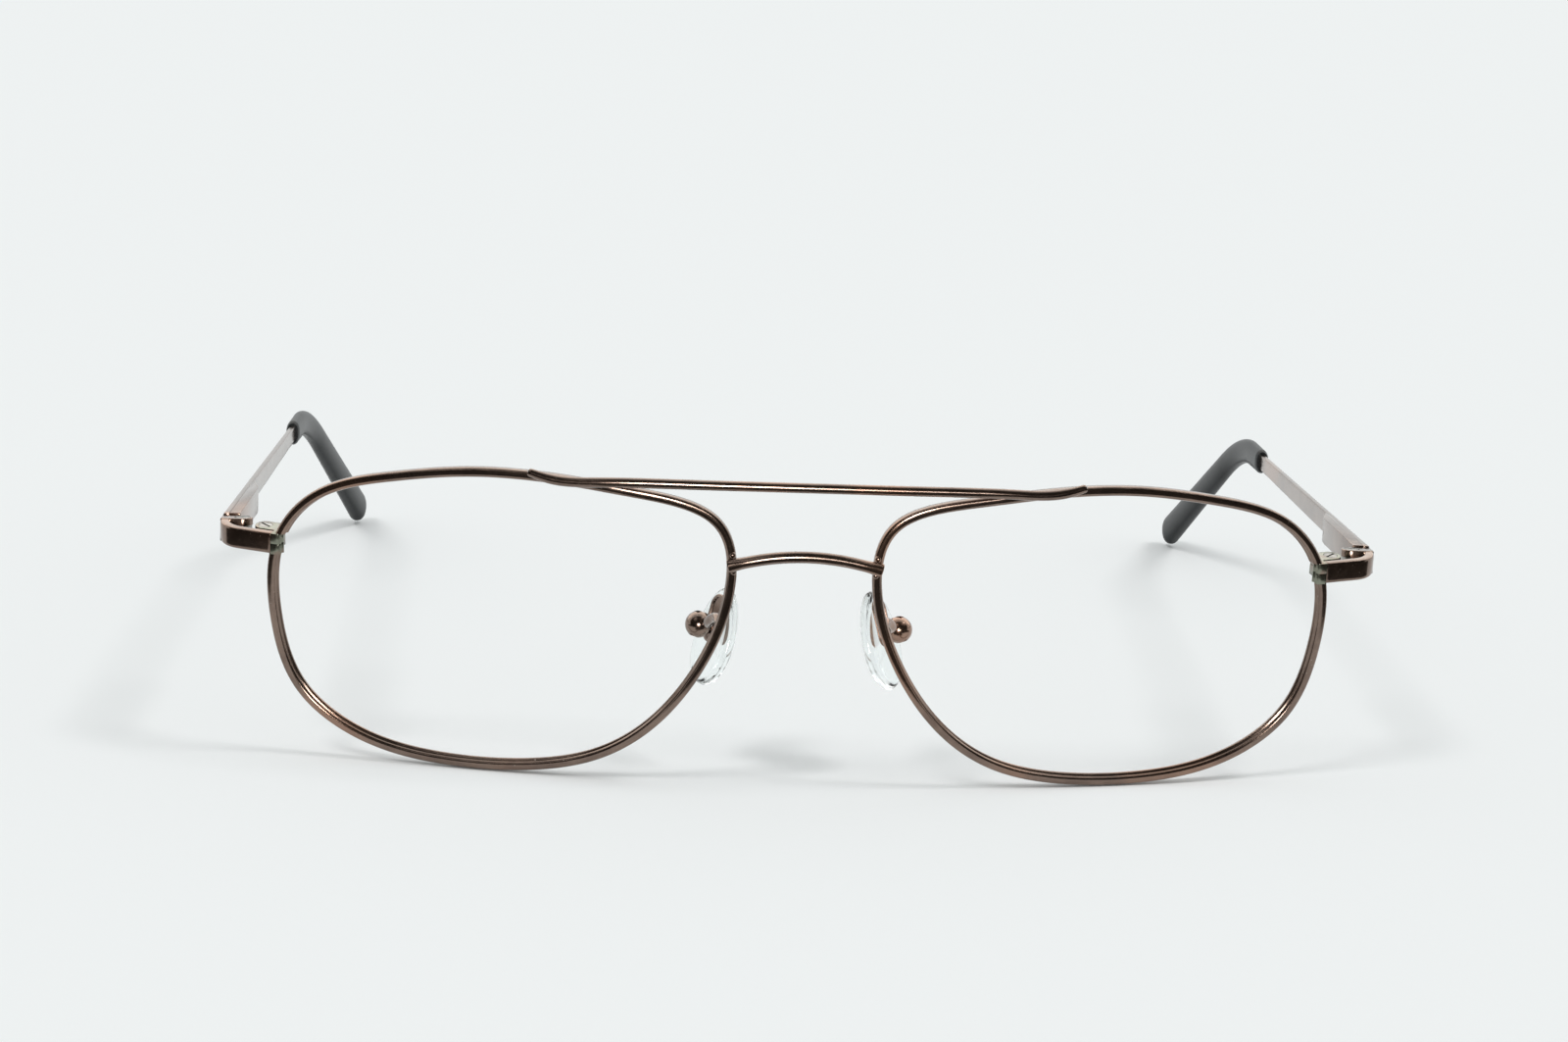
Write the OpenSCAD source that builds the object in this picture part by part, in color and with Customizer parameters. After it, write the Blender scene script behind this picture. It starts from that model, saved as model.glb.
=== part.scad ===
// Metal eyeglass frame: two full rims under a straight top bar, an arched bridge, wrapped end
// pieces, spring hinges, flat temples with plastic tips and clear nose pads on wire arms.
// Millimetres. +X is the wearer's left, +Y runs back along the temples and +Z is up.
// Every piece is drawn as worn, then leaned back until rims and tips stand on z = 0.

/* [Front] */
// Distance between the two lens centres
lens_pitch = 74.2; // [72:0.2:78]
// Width of a rim along the centreline of its wire
rim_w = 55.6; // [52:0.2:58]
// Height of a rim along the centreline of its wire
rim_h = 37.5; // [34:0.5:40]
// Forward lean of the lenses at the top, in degrees
panto = 10.5; // [8:0.5:13]
// Backward turn of each lens at the temple side, in degrees
wrap = 10.5; // [8:0.5:13]
// Radius of the sphere that the rims lie on
lens_curve_r = 133; // [115:1:180]
// Width of the rim wire seen from the front
rim_wire_w = 1.2; // [1.05:0.05:1.35]
// Depth of the rim wire from front to back
rim_wire_d = 1.55; // [1.5:0.05:1.95]
// Depth of the lens groove in the rim wire
groove_depth = 0.3; // [0.2:0.05:0.4]
// Diameter of the top bar's wire
top_bar_d = 1.2; // [0.9:0.05:1.4]
// Distance of the top bar's line below the top of the rims, along the lens
top_bar_drop = 0.95; // [0.5:0.05:1.4]
// Distance of the top bar's ends inside the lens centres
top_bar_land = 5; // [4:0.5:6]
// Diameter of the bridge wire
bridge_d = 1.4; // [1:0.05:1.5]
// Height of the bridge's ends above the lens centres, along the lens
bridge_rise = 8; // [7.5:0.1:9.5]
// Height of the bridge's arch above its ends
bridge_arch = 1.4; // [0.8:0.1:2]

/* [Closing blocks and end pieces] */
// Distance from the rim's parting point out to the temple's outer face
end_reach = 7.36; // [6.9:0.02:8.4]
// Height of a closing block, both halves together
block_h = 2.65; // [2.6:0.05:3]
// Width of the block's nose between the ends of the rim wire
block_nose_w = 1.3; // [1.3:0.05:1.6]
// Depth of the block behind the end piece
block_depth = 2.5; // [2.4:0.1:2.8]
// Saw cut between the two halves of a closing block
block_gap = 0.1; // [0.06:0.02:0.2]
// Distance from the rim wire's centreline to the rim screw
rim_screw_out = 2.35; // [2.3:0.05:2.5]
// Diameter of the rim screw's shank
rim_screw_d = 1; // [0.8:0.05:1.1]
// Diameter of the rim screw's head
rim_screw_head_d = 1.7; // [1.5:0.05:1.9]
// Slant of the end piece's face, in degrees
plate_slant = 18; // [16:0.5:20]
// Thickness of the end piece's strip
plate_t = 1.2; // [1:0.05:1.25]
// Height of the end piece's strip
plate_h = 2.6; // [2.2:0.05:2.6]
// Outer radius of the end piece's corner
corner_r = 3.5; // [3:0.1:3.8]

/* [Spring hinges] */
// Height of the hinge's middle above the lens centres
hinge_rise = 8.2; // [8:0.1:8.4]
// Distance of the hinge axis behind the lens centres
hinge_back = 11.2; // [11.1:0.1:11.6]
// Distance of the hinge axis inside the temple's outer face
hinge_inset = 2.5; // [2.4:0.05:2.6]
// Radius of the hinge knuckles
knuckle_r = 1.3; // [1.2:0.05:1.35]
// Height of the front part of the hinge
hook_h = 2.8; // [2.5:0.05:2.9]
// Thickness of the slider's eye
eye_h = 0.95; // [0.8:0.05:1]
// Diameter of the hinge screw's shank
hinge_screw_d = 1.2; // [1:0.05:1.25]
// Diameter of the hinge screw's head
hinge_screw_head_d = 1.9; // [1.7:0.05:2]
// Gap between end piece and temple when the temple is open
butt_gap = 0.15; // [0.12:0.01:0.25]
// Length of the box that holds the spring
box_len = 22; // [21:0.5:26]
// Height of the box
box_h = 3.2; // [2.9:0.05:3.3]
// Thickness of the box beside the temple
box_t = 1.4; // [1.4:0.05:1.6]
// Height of the channel in the box
channel_h = 2; // [1.9:0.05:2.1]
// Wall of the box beside the channel
box_wall = 0.32; // [0.28:0.02:0.34]
// Diameter of the spring's wire
spring_wire_d = 0.16; // [0.12:0.02:0.18]
// Turns of the spring
spring_turns = 11; // [8:1:12]
// Rise of one turn of the spring
spring_pitch = 0.6; // [0.58:0.01:0.64]
// Diameter of the slider's rod
rod_d = 0.45; // [0.35:0.05:0.5]
// Travel of the slider at full flex
flex_travel = 0.55; // [0.5:0.01:0.6]

/* [Temples and tips] */
// Thickness of the temple
temple_t = 0.8; // [0.7:0.05:0.9]
// Height of the temple at the hinge
temple_h = 3.1; // [2.7:0.05:3.15]
// Height of the temple where the tip begins
temple_end_h = 2.1; // [2:0.05:2.5]
// Distance from the hinge axis to the front of the tip
tip_start = 76; // [70:0.5:80]
// Distance from the hinge axis to the start of the ear bend
bend_start = 84; // [82:0.5:92]
// Radius of the ear bend
bend_r = 30; // [24:1:40]
// Slope of the tip behind the ear, in degrees
leg_slope = 30; // [26:1:34]
// Length of the tip behind the bend
leg_len = 31.5; // [28:0.5:35]
// Inward lean of the tip behind the bend, in degrees
leg_lean = 9; // [5:0.5:10]
// Diameter of the core wire in the tip
core_d = 0.8; // [0.7:0.05:0.9]
// Height of the tip's front
tip_front_h = 3.4; // [3:0.1:3.8]
// Height of the tip's end
tip_end_h = 4.8; // [4:0.1:5.5]
// Thickness of the tip's front
tip_front_t = 1.9; // [1.8:0.1:2.2]
// Thickness of the tip's end
tip_end_t = 2.9; // [2.5:0.1:3.2]

/* [Nose pads] */
// Distance of the pad arm's ball from the middle of the frame
ball_out = 12.1; // [11.6:0.1:12.6]
// Distance of the ball behind the lens centres
ball_back = 6.6; // [6:0.1:7.2]
// Height of the ball above the lens centres
ball_rise = -1.1; // [-2:0.1:-0.4]
// Diameter of the ball
ball_d = 3.3; // [3.1:0.05:3.5]
// Diameter of the arm's wire
arm_d = 1.1; // [0.9:0.05:1.2]
// Lean of the pad at the top towards the nose, in degrees
pad_frontal = 17; // [12:1:22]
// Opening of the pads towards the face, in degrees
pad_splay = 32; // [27:1:37]
// Length of a nose pad
pad_len = 12.2; // [11:0.1:14]
// Width of a nose pad
pad_w = 7.6; // [7:0.1:8.4]
// Thickness of a nose pad
pad_t = 2; // [1.8:0.1:2.4]
// Length of the oval holder plate
holder_len = 6; // [5:0.1:6.5]
// Width of the holder plate
holder_w = 2.8; // [2.4:0.1:3.2]
// Height of the holder plate's middle above the ball, along the pad
holder_up = 1.2; // [0.6:0.1:1.4]
// Thickness of the holder plate
holder_t = 0.6; // [0.5:0.05:0.7]
// Thickness of the holder's tongue
tongue_t = 0.8; // [0.7:0.05:0.9]
// Width of the holder's tongue
tongue_w = 1.5; // [1.4:0.05:1.6]
// Diameter of the pad screw's shank
pad_screw_d = 0.8; // [0.7:0.05:0.9]
// Diameter of the pad screw's head
pad_screw_head_d = 1.4; // [1.2:0.05:1.5]

/* [Hidden] */
LEFT = 1;
RIGHT = -1;
$fn = 48;

// Clearances
seat = 0.02;
running = 0.02;
thread = 0.01;
eye_play = 0.05;
core_play = 0.15;
head_play = 0.05;

// Finishes
bronze = [0.36, 0.30, 0.27];
steel = [0.62, 0.60, 0.58];
tip_grey = [0.27, 0.28, 0.29];
clear = [0.86, 0.93, 0.92, 0.45];

// Small vector helpers
function unit(v) = v / norm(v);
function turn_x(p, a) = [p.x, p.y * cos(a) - p.z * sin(a), p.y * sin(a) + p.z * cos(a)];
function turn_y(p, a) = [p.x * cos(a) + p.z * sin(a), p.y, p.z * cos(a) - p.x * sin(a)];
function turn_z(p, a) = [p.x * cos(a) - p.y * sin(a), p.x * sin(a) + p.y * cos(a), p.z];

// Points on the left lens: u outward, v up, back along the lens's own normal
function lens_turn(p) = turn_z(turn_x(p, panto), wrap);
function lens_sag(u, v) = lens_curve_r - sqrt(lens_curve_r * lens_curve_r - u * u - v * v);
function lens_normal(u, v) = lens_turn([-u, lens_curve_r - lens_sag(u, v), -v] / lens_curve_r);
function lens_at(u, v, back = 0) =
  [lens_pitch / 2, 0, 0] + lens_turn([u, lens_sag(u, v), v]) + back * lens_normal(u, v);

// Smooth curves: uniform cubic B-splines that pass close to the points they are given
function blend(a, b, c, d, t) =
  (pow(1 - t, 3) * a + (3 * t * t * t - 6 * t * t + 4) * b
  + (3 * t + 3 * t * t - 3 * t * t * t + 1) * c + t * t * t * d) / 6;
function loop_control(p) =
  let (n = len(p)) [for (i = [0:n - 1]) p[i] * 4 / 3 - (p[(i + n - 1) % n] + p[(i + 1) % n]) / 6];
function loop_at(c, t) =
  let (n = len(c), i = floor(t)) blend(c[(i + n - 1) % n], c[i % n], c[(i + 1) % n], c[(i + 2) % n], t - i);
function open_control(p) =
  let (
    n = len(p),
    c = [for (i = [0:n - 1]) i == 0 || i == n - 1 ? p[i] : p[i] * 4 / 3 - (p[i - 1] + p[i + 1]) / 6]
  ) concat([2 * c[0] - c[1]], c, [2 * c[n - 1] - c[n - 2]]);
function open_at(c, t) =
  let (i = min(floor(t), len(c) - 4)) blend(c[i], c[i + 1], c[i + 2], c[i + 3], t - i);
function open_curve(points, steps) =
  let (c = open_control(points), n = len(points) - 1) [for (k = [0:steps]) open_at(c, n * k / steps)];

// Rings of points round a path, and the closed skin over them
function round_section(r, n) = [for (k = [0:n - 1]) r * [cos(360 * k / n), sin(360 * k / n)]];
function ring(centre, along, side, section) =
  let (e = unit(side - along * (side * along)), f = cross(along, e))
  [for (q = section) centre + e * q.x + f * q.y];
function tangent(path, k) = unit(path[min(k + 1, len(path) - 1)] - path[max(k - 1, 0)]);
function wire_rings(path, side, r, n) =
  [for (k = [0:len(path) - 1]) ring(path[k], tangent(path, k), side, round_section(r, n))];

module skin(rings) {
  n = len(rings);
  m = len(rings[0]);
  sides = [
    for (i = [0:n - 2], j = [0:m - 1])
    each let (a = i * m + j, b = i * m + (j + 1) % m) [[a, a + m, b + m], [a, b + m, b]]
  ];
  first = [for (j = [0:m - 1]) j];
  last = [for (j = [0:m - 1]) n * m - 1 - j];
  polyhedron([for (r = rings) each r], concat(sides, [first, last]));
}

// Rim: the centreline of its wire in shares of its width and height, counter-clockwise from the
// closing block
rim_shape = [
  [0.4748, 0.192], [0.3669, 0.3787], [0.2032, 0.448], [0.036, 0.4853],
  [-0.1367, 0.4773], [-0.2986, 0.4373], [-0.4856, 0.36], [-0.5108, 0.1227],
  [-0.4568, -0.112], [-0.3561, -0.3227], [-0.2176, -0.4613], [-0.0468, -0.5067],
  [0.1223, -0.504], [0.2878, -0.456], [0.4335, -0.3093], [0.4802, -0.072]
];
rim_points = [for (p = rim_shape) [p.x * rim_w, p.y * rim_h]];
rim_control = loop_control(rim_points);
rim_count = len(rim_points);
rim_steps = 96;
rim_half_w = rim_wire_w / 2;
rim_half_d = rim_wire_d / 2;
// Section of the wire, outward and back: a round front, a flatter back and the lens groove inside
rim_section = [
  [-0.95 * rim_half_w, -0.4 * rim_half_d], [-0.6 * rim_half_w, -0.85 * rim_half_d], [0, -rim_half_d],
  [0.6 * rim_half_w, -0.85 * rim_half_d], [0.95 * rim_half_w, -0.4 * rim_half_d],
  [rim_half_w, 0.2 * rim_half_d], [0.9 * rim_half_w, 0.7 * rim_half_d],
  [0.55 * rim_half_w, rim_half_d], [-0.55 * rim_half_w, rim_half_d],
  [-0.9 * rim_half_w, 0.7 * rim_half_d], [-rim_half_w, 0.45 * rim_half_d],
  [groove_depth - rim_half_w, 0]
];
function rim_uv(t) = loop_at(rim_control, (t + rim_count) % rim_count);
function rim_at(t, back = 0) = let (p = rim_uv(t)) lens_at(p.x, p.y, back);
function rim_along(t) = unit(rim_at(t + 0.01) - rim_at(t - 0.01));
function rim_ring(t) =
  let (p = rim_uv(t), back = lens_normal(p.x, p.y), out = unit(cross(back, rim_along(t))))
  [for (q = rim_section) rim_at(t) + out * q.x + back * q.y];

// Closing block: its own axes at the point where the rim wire is parted
block_at = rim_at(0);
block_up = turn_x([0, 0, 1], panto);
rim_part_t = (block_h / 2 + 0.1) / norm(rim_at(0.5) - rim_at(-0.5));
plate_front = -rim_half_d;
block_front = plate_front + plate_t + seat;
block_back = block_front + block_depth;
rim_screw_back = block_front + block_depth / 2;
frame_half = block_at.x + end_reach;
// A ring slid along the wire on to the plane at a height above the block's middle
function on_block_face(t, height) =
  let (along = rim_along(t))
  [for (q = rim_ring(t)) q + along * ((height - (q - block_at) * block_up) / (along * block_up))];

// Hinge
hinge_out = frame_half - hinge_inset;
hinge_at = [hinge_out, hinge_back, hinge_rise];
hook_back = hinge_back + knuckle_r;
slot_h = eye_h + 2 * eye_play;
head_h = 0.4;
screw_slot_w = 0.28;
screw_slot_deep = 0.2;
temple_front = hook_back + butt_gap;
box_out = frame_half - temple_t;
channel_t = box_t - box_wall;
channel_mid = box_out - channel_t / 2;
rod_at = [channel_mid, 0, hinge_rise];
slider_play = 0.1;
slider_t = channel_t - 2 * slider_play;
guide_front = temple_front + 1;
guide_len = 2.6;
bush_front = guide_front + guide_len + 0.8;
bush_len = 0.8;
rod_head_len = 0.8;
rod_play = 0.04;
spring_len = spring_turns * spring_pitch + spring_wire_d;
spring_play = 0.06;
spring_r = channel_t / 2 - spring_play - spring_wire_d / 2;
spring_start = bush_front + bush_len + 0.05;
rod_end = spring_start + spring_len + flex_travel + 0.05;
channel_end = rod_end + 2 * rod_head_len;
box_end_slant = 30;
hook_wall = 0.5;

// Tip: the path of the core wire
tip_front_y = hinge_back + tip_start;
bend_front_y = hinge_back + bend_start;
temple_mid = frame_half - temple_t / 2;
bend_steps = 8;
core_lead = 3;
function leg_dir(slope, lean) = [-sin(lean) * cos(slope), cos(lean) * cos(slope), -sin(slope)];
function bend_at(k) =
  let (a = leg_slope * k / bend_steps)
  [temple_mid - bend_r * sin(a) * sin(leg_lean) * k / bend_steps / 2,
   bend_front_y + bend_r * sin(a), hinge_rise - bend_r * (1 - cos(a))];
leg_way = leg_dir(leg_slope, leg_lean);
function leg_at(s) = bend_at(bend_steps) + leg_way * s;
tip_path = concat(
  [[temple_mid, tip_front_y, hinge_rise]],
  [for (k = [0:bend_steps]) bend_at(k)],
  [for (s = [0.2, 0.4, 0.6, 0.8, 0.9, 0.96, 1]) leg_at(leg_len * s)]
);
core_path = concat(
  [[temple_mid, tip_front_y - core_lead, hinge_rise], [temple_mid, tip_front_y, hinge_rise]],
  [for (k = [0:bend_steps]) bend_at(k)],
  [leg_at(leg_len * 0.4), leg_at(leg_len * 0.75)]
);
tip_n = 16;
tip_last = len(tip_path) - 1;
function tip_length(k) = k == 0 ? 0 : norm(tip_path[k] - tip_path[k - 1]) + tip_length(k - 1);
function tip_share(k) = tip_length(k) / tip_length(tip_last);
// The end is rounded: its last rings draw in as the arc of an ellipse does
function tip_round(k) =
  let (left = (1 - tip_share(k)) * tip_length(tip_last) / (tip_end_h / 2))
  left >= 1 ? 1 : sqrt(max(0.05, 1 - (1 - left) * (1 - left)));
function tip_size(k) =
  tip_round(k) * [tip_front_t + (tip_end_t - tip_front_t) * tip_share(k),
                  tip_front_h + (tip_end_h - tip_front_h) * pow(tip_share(k), 1.5)];
function tip_ring(k) =
  let (s = tip_size(k) / 2)
  ring(tip_path[k], tangent(tip_path, k), [1, 0, 0],
       [for (q = round_section(1, tip_n)) [q.x * s.x, q.y * s.y]]);

// Top bar: each end climbs on to the rim's top, dips beside it and runs level to the middle.
// Its points are given from that end: distance inwards and height above the bar's line
bar_climb = [[0, 1.05], [3, 0.2], [6.5, 0], [11, 0.1]];
bar_off = -rim_half_d - top_bar_d / 2 - seat;
bar_rise = rim_h / 2 - top_bar_drop;
bar_ends = [for (p = bar_climb) lens_at(-top_bar_land - p.x, bar_rise + p.y, bar_off)];
bar_near = bar_ends[len(bar_ends) - 1];
bar_forward = 0.25;
bar_half = concat(
  bar_ends,
  [for (share = [0.57, 0.24]) [bar_near.x * share, bar_near.y - bar_forward, bar_near.z]]
);

// Standing: the lowest points of rim and tip settle on z = 0
rim_low_t = 11.3;
rim_low = rim_at(rim_low_t) - [0, 0, rim_half_w];
tip_low = leg_at(leg_len - 1.2) - [0, 0, tip_end_h / 2 * cos(leg_slope)];
stand_lean = atan2(tip_low.z - rim_low.z, tip_low.y - rim_low.y);
stood_rim = turn_x(rim_low, -stand_lean);
front_y = turn_x(bar_half[len(bar_half) - 1], -stand_lean).y - top_bar_d / 2;
back_y = turn_x(leg_at(leg_len), -stand_lean).y;
mid_y = (front_y + back_y) / 2;

// One side's piece, drawn on the wearer's left and mirrored for the right
module stood(side = LEFT) {
  translate([0, -mid_y, -stood_rim.z])
    rotate([-stand_lean, 0, 0])
      mirror([side == RIGHT ? 1 : 0, 0, 0])
        children();
}

module at_block() {
  translate(block_at)
    rotate([panto, 0, 0])
      children();
}

module at_pad() {
  translate([ball_out, ball_back, ball_rise])
    rotate([0, -pad_frontal, -pad_splay])
      children();
}

module rod_along_y(r, y0, y1) {
  translate([rod_at.x, y0, rod_at.z])
    rotate([-90, 0, 0])
      cylinder(r = r, h = y1 - y0);
}

module rim(side) {
  inner = [for (k = [0:rim_steps]) rim_part_t + (rim_count - 2 * rim_part_t) * k / rim_steps];
  color(bronze)
    stood(side)
      skin(concat(
        [on_block_face(rim_part_t, block_h / 2 + seat)],
        [for (k = [1:rim_steps - 1]) rim_ring(inner[k])],
        [on_block_face(rim_count - rim_part_t, -block_h / 2 - seat)]
      ));
}

function mirrored(points) = [for (k = [len(points) - 1:-1:0]) [-points[k].x, points[k].y, points[k].z]];

module top_bar() {
  color(bronze)
    stood()
      skin(wire_rings(open_curve(concat(bar_half, mirrored(bar_half)), 48), [0, 0, 1], top_bar_d / 2, 10));
}

bridge_off = -rim_half_d - bridge_d / 2 - seat;
bridge_end = lens_at(-rim_w / 2 - 0.3, bridge_rise, bridge_off);
bridge_knee = [bridge_end.x / 2, bridge_end.y - 0.3, bridge_end.z + bridge_arch * 0.75];
bridge_half = [bridge_end, bridge_knee];
bridge_top = [0, bridge_end.y - 0.4, bridge_end.z + bridge_arch];

module bridge() {
  color(bronze)
    stood()
      skin(wire_rings(
        open_curve(concat(bridge_half, [bridge_top], mirrored(bridge_half)), 24),
        [0, 0, 1], bridge_d / 2, 12));
}

// Plan of a closing block: the nose in line with the rim wire and the ear behind the end piece
module block_plan() {
  rotate(plate_slant) {
    translate([-block_nose_w / 2, plate_front])
      square([block_nose_w, rim_wire_d]);
    translate([block_nose_w / 2 - 0.3, block_front])
      square([rim_screw_out - block_nose_w / 2 + 0.3, block_depth]);
    translate([rim_screw_out, rim_screw_back])
      circle(r = block_depth / 2);
  }
}

module lens_groove() {
  rotate(plate_slant)
    translate([-block_nose_w / 2, 0, -block_h])
      rotate(45)
        translate([-groove_depth, -groove_depth] / sqrt(2))
          cube([groove_depth * sqrt(2), groove_depth * sqrt(2), 2 * block_h]);
}

module on_rim_screw(z) {
  rotate(plate_slant)
    translate([rim_screw_out, rim_screw_back, z])
      children();
}

module closing_block_upper(side) {
  color(bronze)
    stood(side)
      at_block()
        difference() {
          translate([0, 0, block_gap / 2])
            linear_extrude((block_h - block_gap) / 2)
              block_plan();
          on_rim_screw(0)
            cylinder(d = rim_screw_d + 2 * running, h = block_h);
          on_rim_screw(block_h / 2 - head_h)
            cylinder(d = rim_screw_head_d + 2 * running, h = block_h);
          lens_groove();
        }
}

module closing_block_lower(side) {
  color(bronze)
    stood(side)
      at_block()
        difference() {
          translate([0, 0, -block_h / 2])
            linear_extrude((block_h - block_gap) / 2)
              block_plan();
          on_rim_screw(-block_h)
            cylinder(d = rim_screw_d + 2 * thread, h = block_h);
          lens_groove();
        }
}

// A slotted screw along +Z, its head's underside at z = 0
module slotted_screw(shank_d, head_d, length) {
  difference() {
    union() {
      translate([0, 0, -length])
        cylinder(d = shank_d, h = length + head_h / 2);
      cylinder(d = head_d, h = head_h);
    }
    translate([-head_d, -screw_slot_w / 2, head_h - screw_slot_deep])
      cube([2 * head_d, screw_slot_w, head_h]);
  }
}

module rim_screw(side) {
  color(steel)
    stood(side)
      at_block()
        on_rim_screw(block_h / 2 - head_h + seat)
          rotate(30)
            slotted_screw(rim_screw_d, rim_screw_head_d, block_h - head_h - seat);
}

// Plan of the end piece's strip in the block's axes: slanted face, round corner and side wall
corner_c = [
  end_reach - corner_r,
  ((end_reach - corner_r) * sin(plate_slant) + plate_front + corner_r) / cos(plate_slant)
];
corner_along = (corner_c.x + (plate_front + corner_r) * sin(plate_slant)) / cos(plate_slant);
strip_back = hinge_back - block_at.y;
// The strip's straight parts run a little into its round corner, so that they join as one solid
strip_overlap = 0.01;

module strip_plan() {
  rotate(plate_slant)
    translate([block_nose_w / 2 + seat, plate_front])
      square([corner_along - block_nose_w / 2 - seat + strip_overlap, plate_t]);
  intersection() {
    translate(corner_c)
      difference() {
        circle(r = corner_r);
        circle(r = corner_r - plate_t);
      }
    translate(corner_c)
      polygon([
        [0, 0], [2 * corner_r * sin(plate_slant), -2 * corner_r * cos(plate_slant)],
        [2 * corner_r, -2 * corner_r], [2 * corner_r, 0]
      ]);
  }
  translate([end_reach - plate_t, corner_c.y - strip_overlap])
    square([plate_t, strip_back - corner_c.y + strip_overlap]);
}

module end_piece(side) {
  color(bronze)
    stood(side)
      difference() {
        union() {
          at_block()
            translate([0, 0, -plate_h / 2])
              linear_extrude(plate_h)
                strip_plan();
          translate([hinge_out, hinge_back - knuckle_r, hinge_rise - hook_h / 2])
            cube([hinge_inset, 2 * knuckle_r, hook_h]);
          translate(hinge_at - [0, 0, hook_h / 2])
            cylinder(r = knuckle_r, h = hook_h);
        }
        translate(hinge_at - [2 * knuckle_r, knuckle_r - eye_play, slot_h / 2])
          cube([hinge_inset + 2 * knuckle_r - hook_wall, 3 * knuckle_r, slot_h]);
        translate(hinge_at)
          cylinder(d = hinge_screw_d + 2 * running, h = hook_h);
        translate(hinge_at + [0, 0, hook_h / 2 - head_h])
          cylinder(d = hinge_screw_head_d + 2 * running, h = hook_h);
        translate(hinge_at - [0, 0, hook_h])
          cylinder(d = hinge_screw_d + 2 * running, h = hook_h);
      }
}

module hinge_screw(side) {
  color(steel)
    stood(side)
      translate(hinge_at + [0, 0, hook_h / 2 - head_h + seat])
        slotted_screw(hinge_screw_d, hinge_screw_head_d, hook_h - head_h);
}

module hinge_slider(side) {
  color(steel)
    stood(side) {
      difference() {
        union() {
          translate(hinge_at - [0, 0, eye_h / 2])
            cylinder(r = knuckle_r - 2 * eye_play, h = eye_h);
          translate([channel_mid - slider_t / 2, hinge_back, hinge_rise - eye_h / 2])
            cube([slider_t, guide_front + guide_len / 2 - hinge_back, eye_h]);
        }
        translate(hinge_at - [0, 0, hook_h])
          cylinder(d = hinge_screw_d + 2 * running, h = 2 * hook_h);
      }
      translate([channel_mid - slider_t / 2, guide_front, hinge_rise - channel_h / 2 + slider_play])
        cube([slider_t, guide_len, channel_h - 2 * slider_play]);
      rod_along_y(rod_d / 2, guide_front + guide_len / 2, rod_end);
      rod_along_y(spring_r + spring_wire_d / 2, rod_end, rod_end + rod_head_len);
    }
}

// A coil along +Y: its rings follow the wire, so that neighbouring turns never touch
spring_rings = 8 * spring_turns;
spring_gap = spring_pitch - spring_wire_d;
echo(spring_gap = spring_gap);

module flex_spring(side) {
  path = [
    for (k = [0:spring_rings])
    [rod_at.x + spring_r * cos(45 * k),
     spring_start + spring_wire_d / 2 + spring_turns * spring_pitch * k / spring_rings,
     rod_at.z + spring_r * sin(45 * k)]
  ];
  color(steel)
    stood(side)
      skin(wire_rings(path, [0, 1, 0], spring_wire_d / 2, 6));
}

module spring_bush(side) {
  color(steel)
    stood(side)
      difference() {
        translate([box_out - channel_t + seat, bush_front, hinge_rise - channel_h / 2 + seat])
          cube([channel_t - 2 * seat, bush_len, channel_h - 2 * seat]);
        rod_along_y(rod_d / 2 + rod_play, 0, 2 * bush_front);
      }
}

module hinge_box(side) {
  back = temple_front + box_len;
  color(bronze)
    stood(side)
      difference() {
        translate([box_out - box_t, temple_front, hinge_rise - box_h / 2])
          cube([box_t, box_len, box_h]);
        translate([box_out - channel_t, temple_front - 1, hinge_rise - channel_h / 2])
          cube([2 * channel_t, channel_end - temple_front + 1, channel_h]);
        translate([box_out - box_t, back, hinge_rise - box_h])
          rotate(box_end_slant)
            translate([-2 * box_t, -box_t, 0])
              cube([2 * box_t, 2 * box_len, 2 * box_h]);
      }
}

module temple(side) {
  flat_len = tip_front_y - temple_front - seat;
  color(bronze)
    stood(side) {
      translate([box_out + seat, 0, hinge_rise])
        rotate([90, 0, 90])
          linear_extrude(temple_t - seat)
            polygon([
              [temple_front, -temple_h / 2], [temple_front + flat_len, -temple_end_h / 2],
              [temple_front + flat_len, temple_end_h / 2], [temple_front, temple_h / 2]
            ]);
      skin(wire_rings(core_path, [1, 0, 0], core_d / 2, 8));
    }
}

module temple_tip(side) {
  bore = [for (k = [len(core_path) - 1:-1:1]) core_path[k]];
  bore_n = len(bore) - 1;
  color(tip_grey)
    stood(side)
      skin(concat(
        [
          for (k = [0:bore_n])
          ring(bore[k] + (k == 0 ? leg_way * 0.3 : [0, 0, 0]), tangent(core_path, bore_n + 1 - k),
               [1, 0, 0], round_section(core_d / 2 + core_play, tip_n))
        ],
        [for (k = [0:tip_last]) tip_ring(k)]
      ));
}

// Pad arm: from the back of the rim to the ball that carries the pad
ball_at = [ball_out, ball_back, ball_rise];
arm_t = 7.55;
arm_root = rim_at(arm_t, rim_half_d + seat);
arm_path = [
  arm_root, rim_at(arm_t, rim_half_d + 1), rim_at(arm_t, rim_half_d + 2.4) + [0.2, 0, 0.3],
  ball_at + [-0.5, -3.4, 1.1], ball_at + [0.1, -1.6, 0.3], ball_at
];
slot_t = tongue_t + 2 * eye_play;
slot_reach = 0.9;
pad_head_h = 0.35;
pad_head_at = 1;
pad_screw_len = 2.3;
pad_slot_w = 0.24;
pad_slot_deep = 0.15;

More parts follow.
